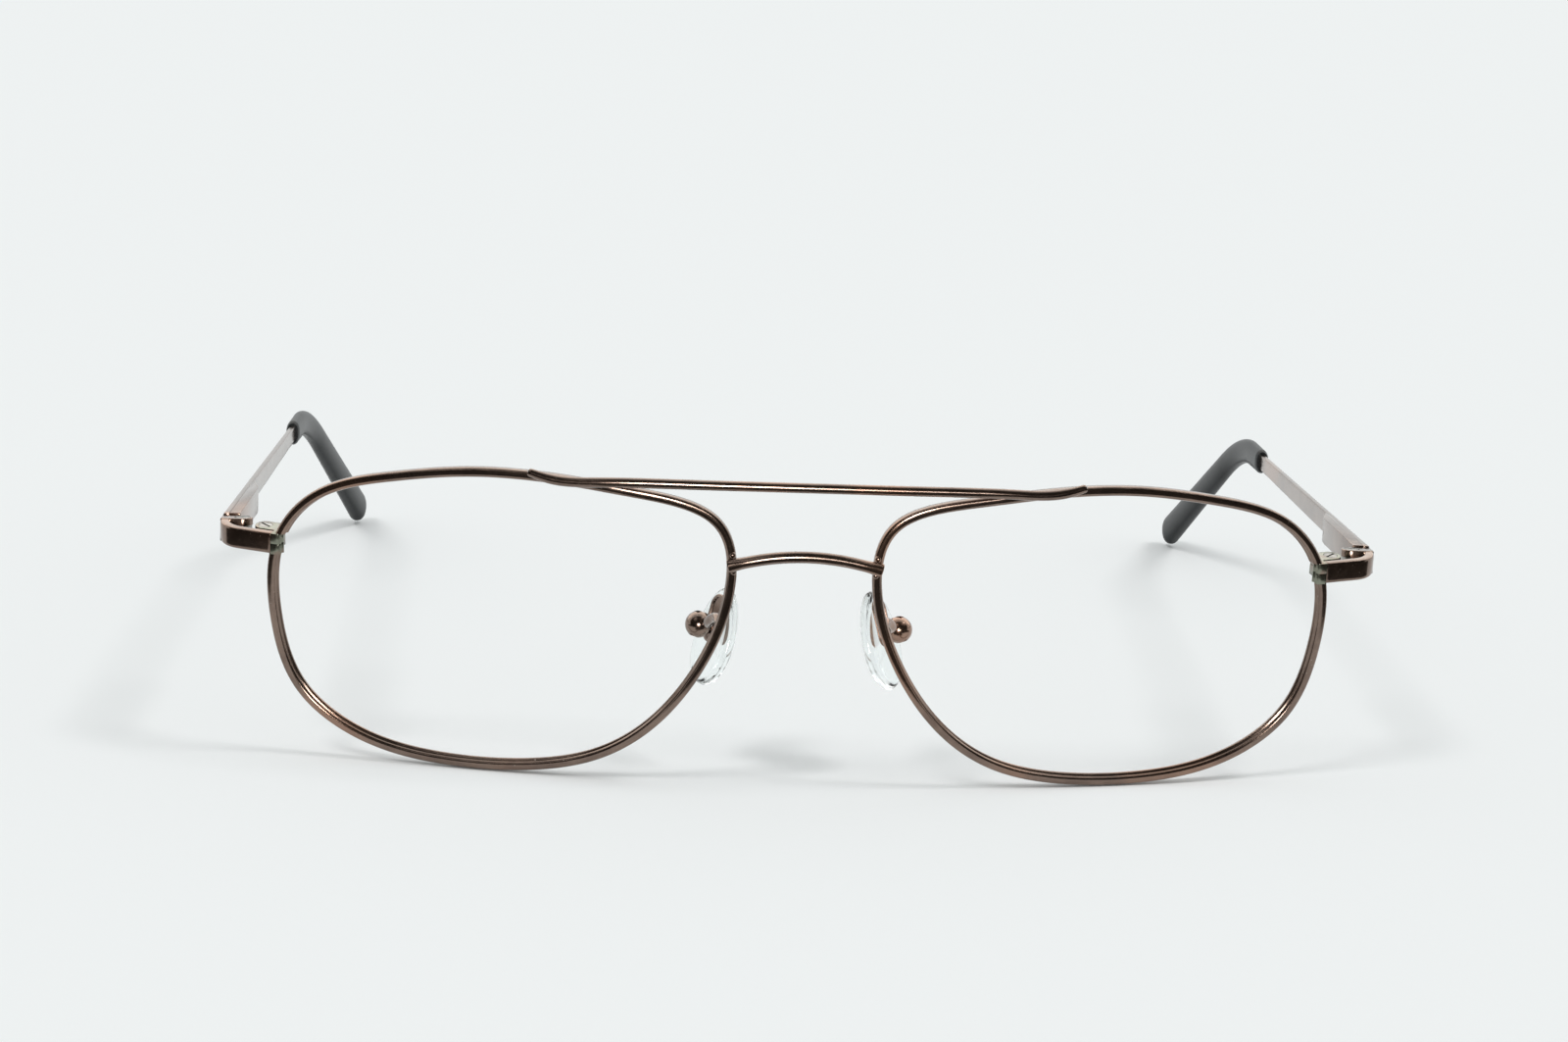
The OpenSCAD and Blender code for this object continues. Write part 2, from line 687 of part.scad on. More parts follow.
module pad_arm(side) {
  color(bronze)
    stood(side)
      difference() {
        union() {
          translate(ball_at)
            sphere(d = ball_d);
          skin(wire_rings(open_curve(arm_path, 20), [1, 0, 0], arm_d / 2, 8));
        }
        at_pad() {
          translate([-ball_d, -slot_t / 2, -ball_d])
            cube([ball_d + slot_reach, slot_t, 2 * ball_d]);
          rotate([-90, 0, 0])
            translate([0, 0, -ball_d])
              cylinder(d = pad_screw_d + 2 * running, h = 2 * ball_d);
          rotate([-90, 0, 0])
            translate([0, 0, pad_head_at])
              cylinder(d = pad_screw_head_d + 2 * head_play, h = ball_d);
        }
      }
}

holder_gap = 0.15;
holder_near = -ball_d / 2 - holder_gap;
holder_far = holder_near - holder_t;

// The holder's oval outline, grown by a clearance
module holder_plan(grow) {
  for (z = [-1, 1])
    translate([0, holder_up + z * (holder_len - holder_w) / 2])
      circle(d = holder_w + 2 * grow);
  translate([0, holder_up])
    square([holder_w + 2 * grow, holder_len - holder_w], center = true);
}

module holder_plate(x0, x1, grow) {
  translate([x0, 0, 0])
    rotate([90, 0, 90])
      linear_extrude(x1 - x0)
        holder_plan(grow);
}

module pad_holder(side) {
  color(bronze)
    stood(side)
      at_pad()
        difference() {
          union() {
            holder_plate(holder_far, holder_near, 0);
            translate([holder_near - holder_t / 2, -tongue_t / 2, -tongue_w / 2])
              cube([holder_t / 2 - holder_near, tongue_t, tongue_w]);
            translate([0, tongue_t / 2, 0])
              rotate([90, 0, 0])
                cylinder(d = tongue_w, h = tongue_t);
          }
          translate([0, ball_d, 0])
            rotate([90, 0, 0])
              cylinder(d = pad_screw_d + 2 * running, h = 2 * ball_d);
        }
}

module pad_screw(side) {
  color(steel)
    stood(side)
      at_pad()
        translate([0, pad_head_at + seat, 0])
          rotate([-90, 0, 0])
            difference() {
              union() {
                cylinder(d = pad_screw_head_d, h = pad_head_h);
                translate([0, 0, -pad_screw_len])
                  cylinder(d = pad_screw_d, h = pad_screw_len + pad_head_h / 2);
              }
              translate([-pad_screw_head_d, -pad_slot_w / 2, pad_head_h - pad_slot_deep])
                cube([2 * pad_screw_head_d, pad_slot_w, pad_head_h]);
            }
}

// Nose pad: rings of a rounded drop, from its flat back to its crowned face
pad_back = holder_far + holder_t / 2;
pad_drop = 0.9;
pad_fit = 0.03;
pad_n = 24;
pad_layers = [[0, 0.8], [0, 0.9], [0.3, 1], [0.55, 0.97], [0.8, 0.85], [0.93, 0.66], [1, 0.4]];
function pad_point(a, share) =
  let (narrow = 1 - 0.14 * sin(a)) [share * pad_w / 2 * cos(a) * narrow, share * pad_len / 2 * sin(a)];

module nose_pad(side) {
  color(clear)
    stood(side)
      at_pad()
        difference() {
          skin([
            for (layer = pad_layers)
            [
              for (k = [0:pad_n - 1])
              let (q = pad_point(-360 * k / pad_n, layer[1]))
              [pad_back - layer[0] * pad_t, q.x, q.y - pad_drop]
            ]
          ]);
          holder_plate(holder_far - pad_fit, pad_back + 1, pad_fit);
        }
}

rim(LEFT);  // left_rim
rim(RIGHT);  // right_rim
top_bar();
bridge();
closing_block_upper(LEFT);  // left_closing_block_upper
closing_block_upper(RIGHT);  // right_closing_block_upper
closing_block_lower(LEFT);  // left_closing_block_lower
closing_block_lower(RIGHT);  // right_closing_block_lower
rim_screw(LEFT);  // left_rim_screw
rim_screw(RIGHT);  // right_rim_screw
end_piece(LEFT);  // left_end_piece
end_piece(RIGHT);  // right_end_piece
hinge_screw(LEFT);  // left_hinge_screw
hinge_screw(RIGHT);  // right_hinge_screw
hinge_slider(LEFT);  // left_hinge_slider
hinge_slider(RIGHT);  // right_hinge_slider
flex_spring(LEFT);  // left_flex_spring
flex_spring(RIGHT);  // right_flex_spring
spring_bush(LEFT);  // left_spring_bush
spring_bush(RIGHT);  // right_spring_bush
hinge_box(LEFT);  // left_hinge_box
hinge_box(RIGHT);  // right_hinge_box
temple(LEFT);  // left_temple
temple(RIGHT);  // right_temple
temple_tip(LEFT);  // left_temple_tip
temple_tip(RIGHT);  // right_temple_tip
pad_arm(LEFT);  // left_pad_arm
pad_arm(RIGHT);  // right_pad_arm
pad_holder(LEFT);  // left_pad_holder
pad_holder(RIGHT);  // right_pad_holder
pad_screw(LEFT);  // left_pad_screw
pad_screw(RIGHT);  // right_pad_screw
nose_pad(LEFT);  // left_nose_pad
nose_pad(RIGHT);  // right_nose_pad
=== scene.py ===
"""Metal eyeglass frame, dressed over its packed solids.

Pieces are modelled as worn, in millimetres on the wearer's left, then stood on rims and tips and
mirrored for the right side.
"""
import math

import bmesh
import bpy
from bpy.props import FloatProperty, FloatVectorProperty, PointerProperty
from mathutils import Matrix, Vector


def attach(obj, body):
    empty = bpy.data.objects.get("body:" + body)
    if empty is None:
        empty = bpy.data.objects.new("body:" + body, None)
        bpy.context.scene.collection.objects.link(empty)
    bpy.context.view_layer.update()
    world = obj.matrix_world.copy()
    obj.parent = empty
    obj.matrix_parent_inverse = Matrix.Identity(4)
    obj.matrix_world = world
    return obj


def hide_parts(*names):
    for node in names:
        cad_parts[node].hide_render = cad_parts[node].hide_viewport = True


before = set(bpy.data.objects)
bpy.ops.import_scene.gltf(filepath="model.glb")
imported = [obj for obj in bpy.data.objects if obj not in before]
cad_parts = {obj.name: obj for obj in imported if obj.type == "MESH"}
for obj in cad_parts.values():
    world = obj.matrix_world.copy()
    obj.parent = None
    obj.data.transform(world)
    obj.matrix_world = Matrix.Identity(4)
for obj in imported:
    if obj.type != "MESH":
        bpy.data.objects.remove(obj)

bl_info = {
    "name": "Eyeglass frame",
    "version": (1, 0, 0),
    "blender": (4, 5, 0),
    "location": "3D View > Sidebar > Eyeglasses",
    "description": "Builds a metal eyeglass frame with spring hinges over its packed solids",
    "category": "Add Mesh",
}

MM = 0.001
LEFT, RIGHT, MIDDLE = "left", "right", "middle"
SIDES = (LEFT, RIGHT)


# Sizes and colours

def length(name, description, default):
    return FloatProperty(name=name, description=description, default=default * MM, min=0.0,
                         subtype="DISTANCE", unit="LENGTH", precision=5)


def angle(name, description, degrees):
    return FloatProperty(name=name, description=description, default=math.radians(degrees),
                         subtype="ANGLE", unit="ROTATION")


def colour(name, description, default):
    return FloatVectorProperty(name=name, description=description, default=default, size=3,
                               min=0.0, max=1.0, subtype="COLOR")


def share(name, description, default):
    return FloatProperty(name=name, description=description, default=default, min=0.0, max=1.0,
                         subtype="FACTOR")


def strength(name, description, default):
    return FloatProperty(name=name, description=description, default=default, min=0.0)


class FrontSizes(bpy.types.PropertyGroup):
    """Rims, top bar, bridge and closing blocks"""

    lens_pitch: length("Lens pitch", "Distance between the two lens centres", 74.2)
    rim_width: length("Rim width", "Width of a rim along its wire's centreline", 55.6)
    rim_height: length("Rim height", "Height of a rim along its wire's centreline", 37.5)
    wire_width: length("Wire width", "Width of the rim wire seen from the front", 1.2)
    wire_depth: length("Wire depth", "Depth of the rim wire from front to back", 1.55)
    groove: length("Lens groove", "Depth of the lens groove in the rim wire", 0.3)
    pantoscopic: angle("Pantoscopic tilt", "Forward lean of the lenses at the top", 10.5)
    wrap: angle("Wrap", "Backward turn of each lens at the temple side", 10.5)
    lens_radius: length("Base curve", "Radius of the sphere that the rims lie on", 133.0)
    bar_diameter: length("Top bar", "Diameter of the top bar's wire", 1.2)
    bar_drop: length("Top bar drop", "Distance of the top bar's line below the rims' top", 0.95)
    bar_land: length("Top bar landing", "Distance of the bar's ends inside the lens centres", 5.0)
    bridge_diameter: length("Bridge", "Diameter of the bridge's wire", 1.4)
    bridge_rise: length("Bridge height", "Height of the bridge's ends above the lens centres", 8.0)
    bridge_arch: length("Bridge arch", "Height of the bridge's arch above its ends", 1.4)
    block_height: length("Closing block", "Height of a closing block, both halves together", 2.65)
    block_nose: length("Block nose", "Width of the block between the rim wire's ends", 1.3)
    block_depth: length("Block depth", "Depth of the block behind the end piece", 2.5)
    saw_cut: length("Saw cut", "Gap between the two halves of a closing block", 0.03)


class HingeSizes(bpy.types.PropertyGroup):
    """End pieces and spring hinges"""

    end_reach: length("End piece reach", "From the rim's parting out to the temple's face", 7.36)
    slant: angle("Face slant", "Slant of the end piece's face", 18.0)
    strip_thickness: length("Strip thickness", "Thickness of the end piece's strip", 1.2)
    strip_height: length("Strip height", "Height of the end piece's strip", 2.6)
    corner_radius: length("Corner radius", "Outer radius of the end piece's corner", 3.5)
    rise: length("Hinge height", "Height of the hinge's middle above the lens centres", 8.2)
    back: length("Hinge axis", "Distance of the hinge axis behind the lens centres", 11.2)
    inset: length("Hinge inset", "Distance of the axis inside the temple's outer face", 2.5)
    knuckle_radius: length("Knuckle radius", "Radius of the hinge knuckles", 1.3)
    knuckle_height: length("Knuckle height", "Height of the front part of the hinge", 2.8)
    eye_height: length("Eye", "Thickness of the slider's eye", 0.95)
    screw_diameter: length("Hinge screw", "Diameter of the hinge screw's shank", 1.2)
    screw_head: length("Hinge screw head", "Diameter of the hinge screw's head", 1.9)
    rim_screw_head: length("Rim screw head", "Diameter of the rim screw's head", 1.7)
    rim_screw_out: length("Rim screw", "From the wire's centreline to the rim screw", 2.35)
    box_length: length("Box length", "Length of the box that holds the spring", 22.0)
    box_height: length("Box height", "Height of the box", 3.2)
    box_thickness: length("Box thickness", "Thickness of the box beside the temple", 1.3)
    box_wall: length("Box wall", "Wall of the box beside the channel", 0.22)
    channel_height: length("Channel height", "Height of the channel in the box", 2.0)
    spring_wire: length("Spring wire", "Diameter of the spring's wire", 0.16)
    spring_pitch: length("Spring pitch", "Rise of one turn of the spring", 0.6)


class TempleSizes(bpy.types.PropertyGroup):
    """Temples and their tips"""

    thickness: length("Temple thickness", "Thickness of the temple", 0.8)
    height: length("Temple height", "Height of the temple at the hinge", 3.1)
    end_height: length("Temple end height", "Height of the temple where the tip begins", 2.1)
    tip_start: length("Tip start", "From the hinge axis to the front of the tip", 76.0)
    bend_start: length("Ear bend", "From the hinge axis to the start of the ear bend", 84.0)
    bend_radius: length("Bend radius", "Radius of the ear bend", 30.0)
    leg_slope: angle("Leg slope", "Slope of the tip behind the ear", 30.0)
    leg_lean: angle("Leg lean", "Inward lean of the tip behind the bend", 9.0)
    leg_length: length("Leg length", "Length of the tip behind the bend", 31.5)
    tip_front_height: length("Tip front height", "Height of the tip's front", 3.4)
    tip_end_height: length("Tip end height", "Height of the tip's end", 4.8)
    tip_front_thickness: length("Tip front thickness", "Thickness of the tip's front", 1.9)
    tip_end_thickness: length("Tip end thickness", "Thickness of the tip's end", 2.9)


class PadSizes(bpy.types.PropertyGroup):
    """Nose pads, holders and arms"""

    ball_out: length("Ball offset", "Distance of the ball from the middle of the frame", 12.1)
    ball_back: length("Ball depth", "Distance of the ball behind the lens centres", 6.6)
    ball_drop: length("Ball drop", "Distance of the ball below the lens centres", 1.1)
    ball_diameter: length("Ball", "Diameter of the ball", 3.3)
    arm_diameter: length("Arm", "Diameter of the arm's wire", 1.1)
    lean: angle("Pad lean", "Lean of the pad's top towards the nose", 17.0)
    splay: angle("Pad splay", "Opening of the pads towards the face", 32.0)
    pad_length: length("Pad length", "Length of a nose pad", 12.2)
    pad_width: length("Pad width", "Width of a nose pad", 7.6)
    pad_thickness: length("Pad thickness", "Thickness of a nose pad", 2.0)
    holder_length: length("Holder length", "Length of the oval holder plate", 6.0)
    holder_width: length("Holder width", "Width of the oval holder plate", 2.8)
    holder_thickness: length("Holder thickness", "Thickness of the holder plate", 0.6)
    holder_up: length("Holder rise", "Height of the plate's middle above the ball", 1.2)


class Finishes(bpy.types.PropertyGroup):
    """Colours of the metals and plastics"""

    plating: colour("Plating", "Bronze-brown plating of wires and strips", (0.260, 0.188, 0.150))
    plating_dark: colour("Dark plating", "Plating where it is thick", (0.150, 0.106, 0.086))
    plating_thin: colour("Thin plating", "Copper that shows where the plating is worn",
                         (0.480, 0.270, 0.180))
    block: colour("Block", "Nickel silver of the closing blocks under thin plating",
                  (0.235, 0.245, 0.190))
    steel: colour("Steel", "Screws, sliders and springs", (0.36, 0.35, 0.33))
    tip: colour("Tip", "Dark grey plastic of the tips", (0.009, 0.0105, 0.0115))
    pad: colour("Pad", "Clear plastic of the nose pads", (0.95, 0.985, 0.98))


class StudioSettings(bpy.types.PropertyGroup):
    """Floor, light and camera"""

    surround: colour("Surround", "Colour of the backdrop, also in reflections", (0.89, 0.92, 0.92))
    fill: share("Fill", "Strength of the light from all round", 0.68)
    floor: colour("Floor", "Colour of the floor", (0.90, 0.91, 0.91))
    daylight: strength("Daylight", "Strength of each of the two soft suns", 0.66)
    dark_card: colour("Dark card", "Colour of the dark sheets that the wires reflect",
                      (0.06, 0.055, 0.05))
    window: strength("Window", "Strength of the window's reflection", 26.0)
    back_card: strength("Back card", "Strength of the back card's reflection", 1.15)
    lens: FloatProperty(name="Focal length", description="Focal length on a 36 mm sensor",
                        default=78.75, min=1.0, unit="CAMERA")


# The frame's own geometry, in millimetres as worn

# Centreline of the left rim's wire seen along the lens, in shares of its width and height,
# counter-clockwise from its parting
RIM_SHAPE = (
    (0.4748, 0.192), (0.3669, 0.3787), (0.2032, 0.448), (0.036, 0.4853),
    (-0.1367, 0.4773), (-0.2986, 0.4373), (-0.4856, 0.36), (-0.5108, 0.1227),
    (-0.4568, -0.112), (-0.3561, -0.3227), (-0.2176, -0.4613), (-0.0468, -0.5067),
    (0.1223, -0.504), (0.2878, -0.456), (0.4335, -0.3093), (0.4802, -0.072),
)
# Ends of the top bar: distance inwards from its landing and height above its line
BAR_CLIMB = ((0, 1.05), (3, 0.2), (6.5, 0), (11, 0.1))
# Places along the rim, in steps of its shape: its lowest point and the pad arm's root
RIM_LOW = 11.3
ARM_ROOT = 7.55
# Clearance between pieces that touch and round the screws
SEAT = 0.02
# Gap between the end piece and the open temple
BUTT_GAP = 0.15
# Length of the top bar's ends that is thinned, and of their round noses
BAR_TAPER = 3.0
BAR_NOSE = 0.45
# Distance of the bridge's ends beyond the rim wire's centreline, and the length that spreads
BRIDGE_OVERLAP = 0.3
BRIDGE_SPREAD = 2.2
# End piece's strip: its end before the hinge axis, and the length before it that turns level
STRIP_SHORT = 0.5
LEVEL_START = 4.5
LEVEL_LENGTH = 4.0
# From the tip's end along its leg to where it stands on the floor
TIP_LOW = 1.2
# Length that is more than enough to cut right through a piece
THROUGH = 4
# Degrees from which soften rounds an edge
SHARP_EDGE = 28.0
# Rim and hinge screws: depth of the seat for the head, and the head's underside below the face
HEAD_SEAT = 0.4
HEAD_BELOW = 0.38
# Spring: its turns, the room round it and its start behind the bush's front
SPRING_TURNS = 11
SPRING_FREE = 0.06
SPRING_BACK = 0.85
# Bush: its front behind the temple's, and its length
BUSH_BACK = 4.4
BUSH_LENGTH = 0.8
# Slider: its guide's start behind the temple's front, the guide's length and the room round it
GUIDE_BACK = 1
GUIDE_LENGTH = 2.6
GUIDE_FREE = 0.1
# Rod: its radius, the room between the spring and its head, and the head's thickness
ROD_RADIUS = 0.225
ROD_FREE = 0.6
ROD_HEAD = 0.8
# Radius of the wire in the temple's tip
CORE_RADIUS = 0.4
# Gap between the pad arm's ball and the holder plate
HOLDER_GAP = 0.15
# Diameter of the rim screw
RIM_SCREW = 1.0
# Pad screw, and the tongue that turns on it
PAD_SCREW = 0.8
PAD_SCREW_HEAD = 1.4
TONGUE_THICKNESS = 0.8
TONGUE_WIDTH = 1.5
# Camera as worn: its place in millimetres, and its turns in degrees, made from the last
CAMERA_PLACE = (-18.23, -398.68, 83.49)
CAMERA_TURNS = (("Y", 2.05), ("X", 10.02), ("Z", 2.26))


def blend(a, b, c, d, t):
    """A point on a uniform cubic B-spline."""
    return (a * (1 - t) ** 3 + b * (3 * t ** 3 - 6 * t * t + 4)
            + c * (3 * t + 3 * t * t - 3 * t ** 3 + 1) + d * t ** 3) / 6


def smooth_step(t):
    return t * t * (3 - 2 * t)


def plan(*pairs):
    """Points of a flat outline."""
    return [Vector(pair) for pair in pairs]


def run_along(path):
    """The distance of each point along a path."""
    run = [0.0]
    for a, b in zip(path, path[1:]):
        run.append(run[-1] + (b - a).length)
    return run


def open_curve(points, steps):
    """A smooth curve that passes close to the points and ends on the first and last."""
    inner = [p * (4 / 3) - (a + b) / 6 for a, p, b in zip(points, points[1:], points[2:])]
    control = [points[0], *inner, points[-1]]
    control = [2 * control[0] - control[1], *control, 2 * control[-1] - control[-2]]
    curve = []
    for k in range(steps + 1):
        t = (len(points) - 1) * k / steps
        i = min(int(t), len(control) - 4)
        curve.append(blend(*control[i:i + 4], t - i))
    return curve


class Design:
    """Places and shapes that several pieces share, worked out from the sizes."""

    def __init__(self, scene):
        for group in (scene.eyeglass_front, scene.eyeglass_hinge, scene.eyeglass_temple,
                      scene.eyeglass_pad):
            for name, prop in group.bl_rna.properties.items():
                if prop.type == "FLOAT":
                    value = getattr(group, name)
                    setattr(self, name, value if prop.subtype == "ANGLE" else value / MM)
        self.lens_matrix = (Matrix.Translation((self.lens_pitch / 2, 0, 0))
                            @ Matrix.Rotation(self.wrap, 4, "Z")
                            @ Matrix.Rotation(self.pantoscopic, 4, "X"))
        points = [Vector((x * self.rim_width, y * self.rim_height)) for x, y in RIM_SHAPE]
        count = len(points)
        self.rim_control = [p * (4 / 3) - (points[k - 1] + points[(k + 1) % count]) / 6
                            for k, p in enumerate(points)]
        self.rim_count = count
        self.parting = self.rim_at(0)
        near = (self.rim_at(0.5) - self.rim_at(-0.5)).length
        self.part_t = (self.block_height / 2 + 0.1) / near
        self.block_matrix = (Matrix.Translation(self.parting)
                             @ Matrix.Rotation(self.pantoscopic, 4, "X"))
        self.block_up = self.block_matrix.to_3x3() @ Vector((0, 0, 1))
        self.slanted = self.block_matrix @ Matrix.Rotation(self.slant, 4, "Z")
        self.plate_front = -self.wire_depth / 2
        self.block_front = self.plate_front + self.strip_thickness + SEAT
        self.half_width = self.parting.x + self.end_reach
        self.hinge = Vector((self.half_width - self.inset, self.back, self.rise))
        self.hinge_place = Matrix.Translation(self.hinge)
        self.rim_screw_at = Vector((self.rim_screw_out, self.block_front + self.block_depth / 2, 0))
        self.temple_front = self.back + self.knuckle_radius + BUTT_GAP
        self.box_out = self.half_width - self.thickness
        self.temple_mid = self.half_width - self.thickness / 2
        self.channel_depth = self.box_thickness - self.box_wall
        self.channel_mid = self.box_out - self.channel_depth / 2
        self.spring_radius = self.channel_depth / 2 - SPRING_FREE - self.spring_wire / 2
        self.bush_front = self.temple_front + BUSH_BACK
        self.spring_start = self.bush_front + SPRING_BACK
        spring_length = SPRING_TURNS * self.spring_pitch + self.spring_wire
        self.rod_end = self.spring_start + spring_length + ROD_FREE
        self.ball = Vector((self.ball_out, self.ball_back, -self.ball_drop))
        self.pad_matrix = (Matrix.Translation(self.ball)
                           @ Matrix.Rotation(-self.splay, 4, "Z")
                           @ Matrix.Rotation(-self.lean, 4, "Y"))
        self.holder_near = -self.ball_diameter / 2 - HOLDER_GAP
        self.stand = self.standing()

    def sag(self, u, v):
        return self.lens_radius - math.sqrt(self.lens_radius ** 2 - u * u - v * v)

    def lens_normal(self, u, v):
        local = Vector((-u, self.lens_radius - self.sag(u, v), -v)).normalized()
        return self.lens_matrix.to_3x3() @ local

    def lens_at(self, u, v, back=0.0):
        """A point on the left lens: u outward, v up, back along the lens's own normal."""
        return self.lens_matrix @ Vector((u, self.sag(u, v), v)) + back * self.lens_normal(u, v)

    def rim_uv(self, t):
        t = t % self.rim_count
        i = int(t)
        near = [self.rim_control[(i + k) % self.rim_count] for k in (-1, 0, 1, 2)]
        return blend(*near, t - i)

    def rim_at(self, t, back=0.0):
        return self.lens_at(*self.rim_uv(t), back)

    def rim_station(self, t):
        """Axes of the rim wire: X outward, Y back, Z along it."""
        back = self.lens_normal(*self.rim_uv(t))
        along = (self.rim_at(t + 0.01) - self.rim_at(t - 0.01)).normalized()
        out = back.cross(along).normalized()
        return axes(self.rim_at(t), out, back, along)

    def rim_end(self, t, height):
        """The rim's axes at t, sheared on to the face of the closing block."""
        square = self.rim_station(t)
        along = square.col[2].to_3d()
        steep = along.dot(self.block_up)
        centre = square.col[3].to_3d()
        centre = centre + along * ((height - (centre - self.parting).dot(self.block_up)) / steep)
        out, back = (side - along * (side.dot(self.block_up) / steep)
                     for side in (square.col[0].to_3d(), square.col[1].to_3d()))
        return axes(centre, out, back, along)

    def bar_path(self):
        """The top bar's points from its landing on the left rim to near the middle."""
        off = -self.wire_depth / 2 - self.bar_diameter / 2 - SEAT
        line = self.rim_height / 2 - self.bar_drop
        points = [self.lens_at(-self.bar_land - inward, line + up, off) for inward, up in BAR_CLIMB]
        near = points[-1]
        return points + [Vector((near.x * part, near.y - 0.25, near.z)) for part in (0.57, 0.24)]

    def ear_bend(self, share_of_bend):
        """A point of the tip's middle line in its ear bend, from 0 to 1."""
        a = self.leg_slope * share_of_bend
        inward = self.bend_radius * math.sin(a) * math.sin(self.leg_lean) * share_of_bend / 2
        return Vector((self.temple_mid - inward,
                       self.back + self.bend_start + self.bend_radius * math.sin(a),
                       self.rise - self.bend_radius * (1 - math.cos(a))))

    def leg_way(self):
        slope, lean = self.leg_slope, self.leg_lean
        return Vector((-math.sin(lean) * math.cos(slope), math.cos(lean) * math.cos(slope),
                       -math.sin(slope)))

    def leg_at(self, distance):
        return self.ear_bend(1) + self.leg_way() * distance

    def standing(self):
        """From as worn, in millimetres, to stood on rims and tips, in metres."""
        rim_low = self.rim_at(RIM_LOW) - Vector((0, 0, self.wire_width / 2))
        tip_low = self.leg_at(self.leg_length - TIP_LOW) - Vector(
            (0, 0, self.tip_end_height / 2 * math.cos(self.leg_slope)))
        lean = math.atan2(tip_low.z - rim_low.z, tip_low.y - rim_low.y)
        turn = Matrix.Rotation(-lean, 4, "X")
        front_y = (turn @ self.bar_path()[-1]).y - self.bar_diameter / 2
        back_y = (turn @ self.leg_at(self.leg_length)).y
        place = Matrix.Translation((0, -(front_y + back_y) / 2, -(turn @ rim_low).z))
        return Matrix.Scale(MM, 4) @ place @ turn


def axes(centre, x, y, z):
    """A matrix from its origin and its three axes."""
    matrix = Matrix((x, y, z)).transposed().to_4x4()
    matrix.translation = centre
    return matrix


def path_stations(path, side, sizes=None):
    """Axes along a path: X as near to side as may be, Z forwards. sizes scale X and Y."""
    stations = []
    for k, centre in enumerate(path):
        along = (path[min(k + 1, len(path) - 1)] - path[max(k - 1, 0)]).normalized()
        x = (side - along * side.dot(along)).normalized()
        y = along.cross(x)
        wide, high = sizes[k] if sizes else (1.0, 1.0)
        stations.append(axes(centre, x * wide, y * high, along))
    return stations


# Modelling

def circle(radius, count):
    return [Vector((radius * math.cos(2 * math.pi * k / count),
                    radius * math.sin(2 * math.pi * k / count))) for k in range(count)]


def squircle(half_x, half_y, power, count):
    """A rounded rectangle's outline as a superellipse."""
    points = []
    for k in range(count):
        c, s = math.cos(2 * math.pi * k / count), math.sin(2 * math.pi * k / count)
        points.append(Vector((half_x * math.copysign(abs(c) ** (2 / power), c),
                              half_y * math.copysign(abs(s) ** (2 / power), s))))
    return points


def arc(centre, radius, start, end, steps):
    """Points on an arc, its angles in degrees."""
    points = []
    for k in range(steps + 1):
        a = math.radians(start + (end - start) * k / steps)
        points.append(Vector((centre[0] + radius * math.cos(a), centre[1] + radius * math.sin(a))))
    return points


def verts_of(geometry):
    return [g for g in geometry if isinstance(g, bmesh.types.BMVert)]


def moved(bm, place):
    """Moves a mesh to its place; none leaves it where it is."""
    if place is not None:
        bmesh.ops.transform(bm, matrix=place, verts=bm.verts)
    return bm


def mesh_from(name, bm):
    """Turns a bmesh into a mesh and frees it."""
    mesh = bpy.data.meshes.new(name)
    bm.to_mesh(mesh)
    bm.free()
    return mesh


def linked(name, data):
    """A new object in the scene."""
    thing = bpy.data.objects.new(name, data)
    bpy.context.scene.collection.objects.link(thing)
    return thing


def swept(stations, section):
    bm = bmesh.new()
    sweep(bm, stations, section)
    return bm


def sweep(bm, stations, section):
    """Extrudes a closed section from station to station and closes both ends.

    Each vertex keeps its place in the section and its distance along the piece, so that drawn
    wire can show its grain.
    """
    grain = bm.verts.layers.float_vector.get("grain") or bm.verts.layers.float_vector.new("grain")
    ring = [bm.verts.new(stations[0] @ point.to_3d()) for point in section]
    for vert, point in zip(ring, section):
        vert[grain] = (point.x, point.y, 0.0)
    edges = [bm.edges.new(pair) for pair in zip(ring, ring[1:] + ring[:1])]
    ends = [bm.faces.new(ring)]
    distance = 0.0
    for last, here in zip(stations, stations[1:]):
        made = bmesh.ops.extrude_edge_only(bm, edges=edges)["geom"]
        ring = verts_of(made)
        inside = set(ring)
        edges = [g for g in made if isinstance(g, bmesh.types.BMEdge) and set(g.verts) <= inside]
        distance += (here.translation - last.translation).length
        bmesh.ops.transform(bm, matrix=here @ last.inverted(), verts=ring)
        for vert in ring:
            vert[grain] = (vert[grain][0], vert[grain][1], distance)
    ends.extend(bmesh.ops.contextual_create(bm, geom=edges)["faces"])
    bmesh.ops.recalc_face_normals(bm, faces=bm.faces)
    return ends


def prism(outline, low, high, place=None, edge=0.0, segments=2):
    """A plan outline raised from low to high, with its corners and rims softened."""
    bm = bmesh.new()
    face = bm.faces.new([bm.verts.new((p.x, p.y, low)) for p in outline])
    made = bmesh.ops.extrude_face_region(bm, geom=[face])["geom"]
    bmesh.ops.translate(bm, verts=verts_of(made), vec=(0, 0, high - low))
    bmesh.ops.recalc_face_normals(bm, faces=bm.faces)
    if edge:
        soften(bm, edge, segments)
    return moved(bm, place)


def round_edges(bm, edges, width, segments=2, clamp=False):
    bmesh.ops.bevel(bm, geom=edges, offset=width, offset_type="OFFSET", segments=segments,
                    profile=0.5, affect="EDGES", clamp_overlap=clamp, material=-1)


def soften(bm, width, segments=2):
    """Rounds every sharp edge."""
    sharp = [e for e in bm.edges
             if len(e.link_faces) == 2 and e.calc_face_angle(0.0) > math.radians(SHARP_EDGE)]
    round_edges(bm, sharp, width, segments, clamp=True)


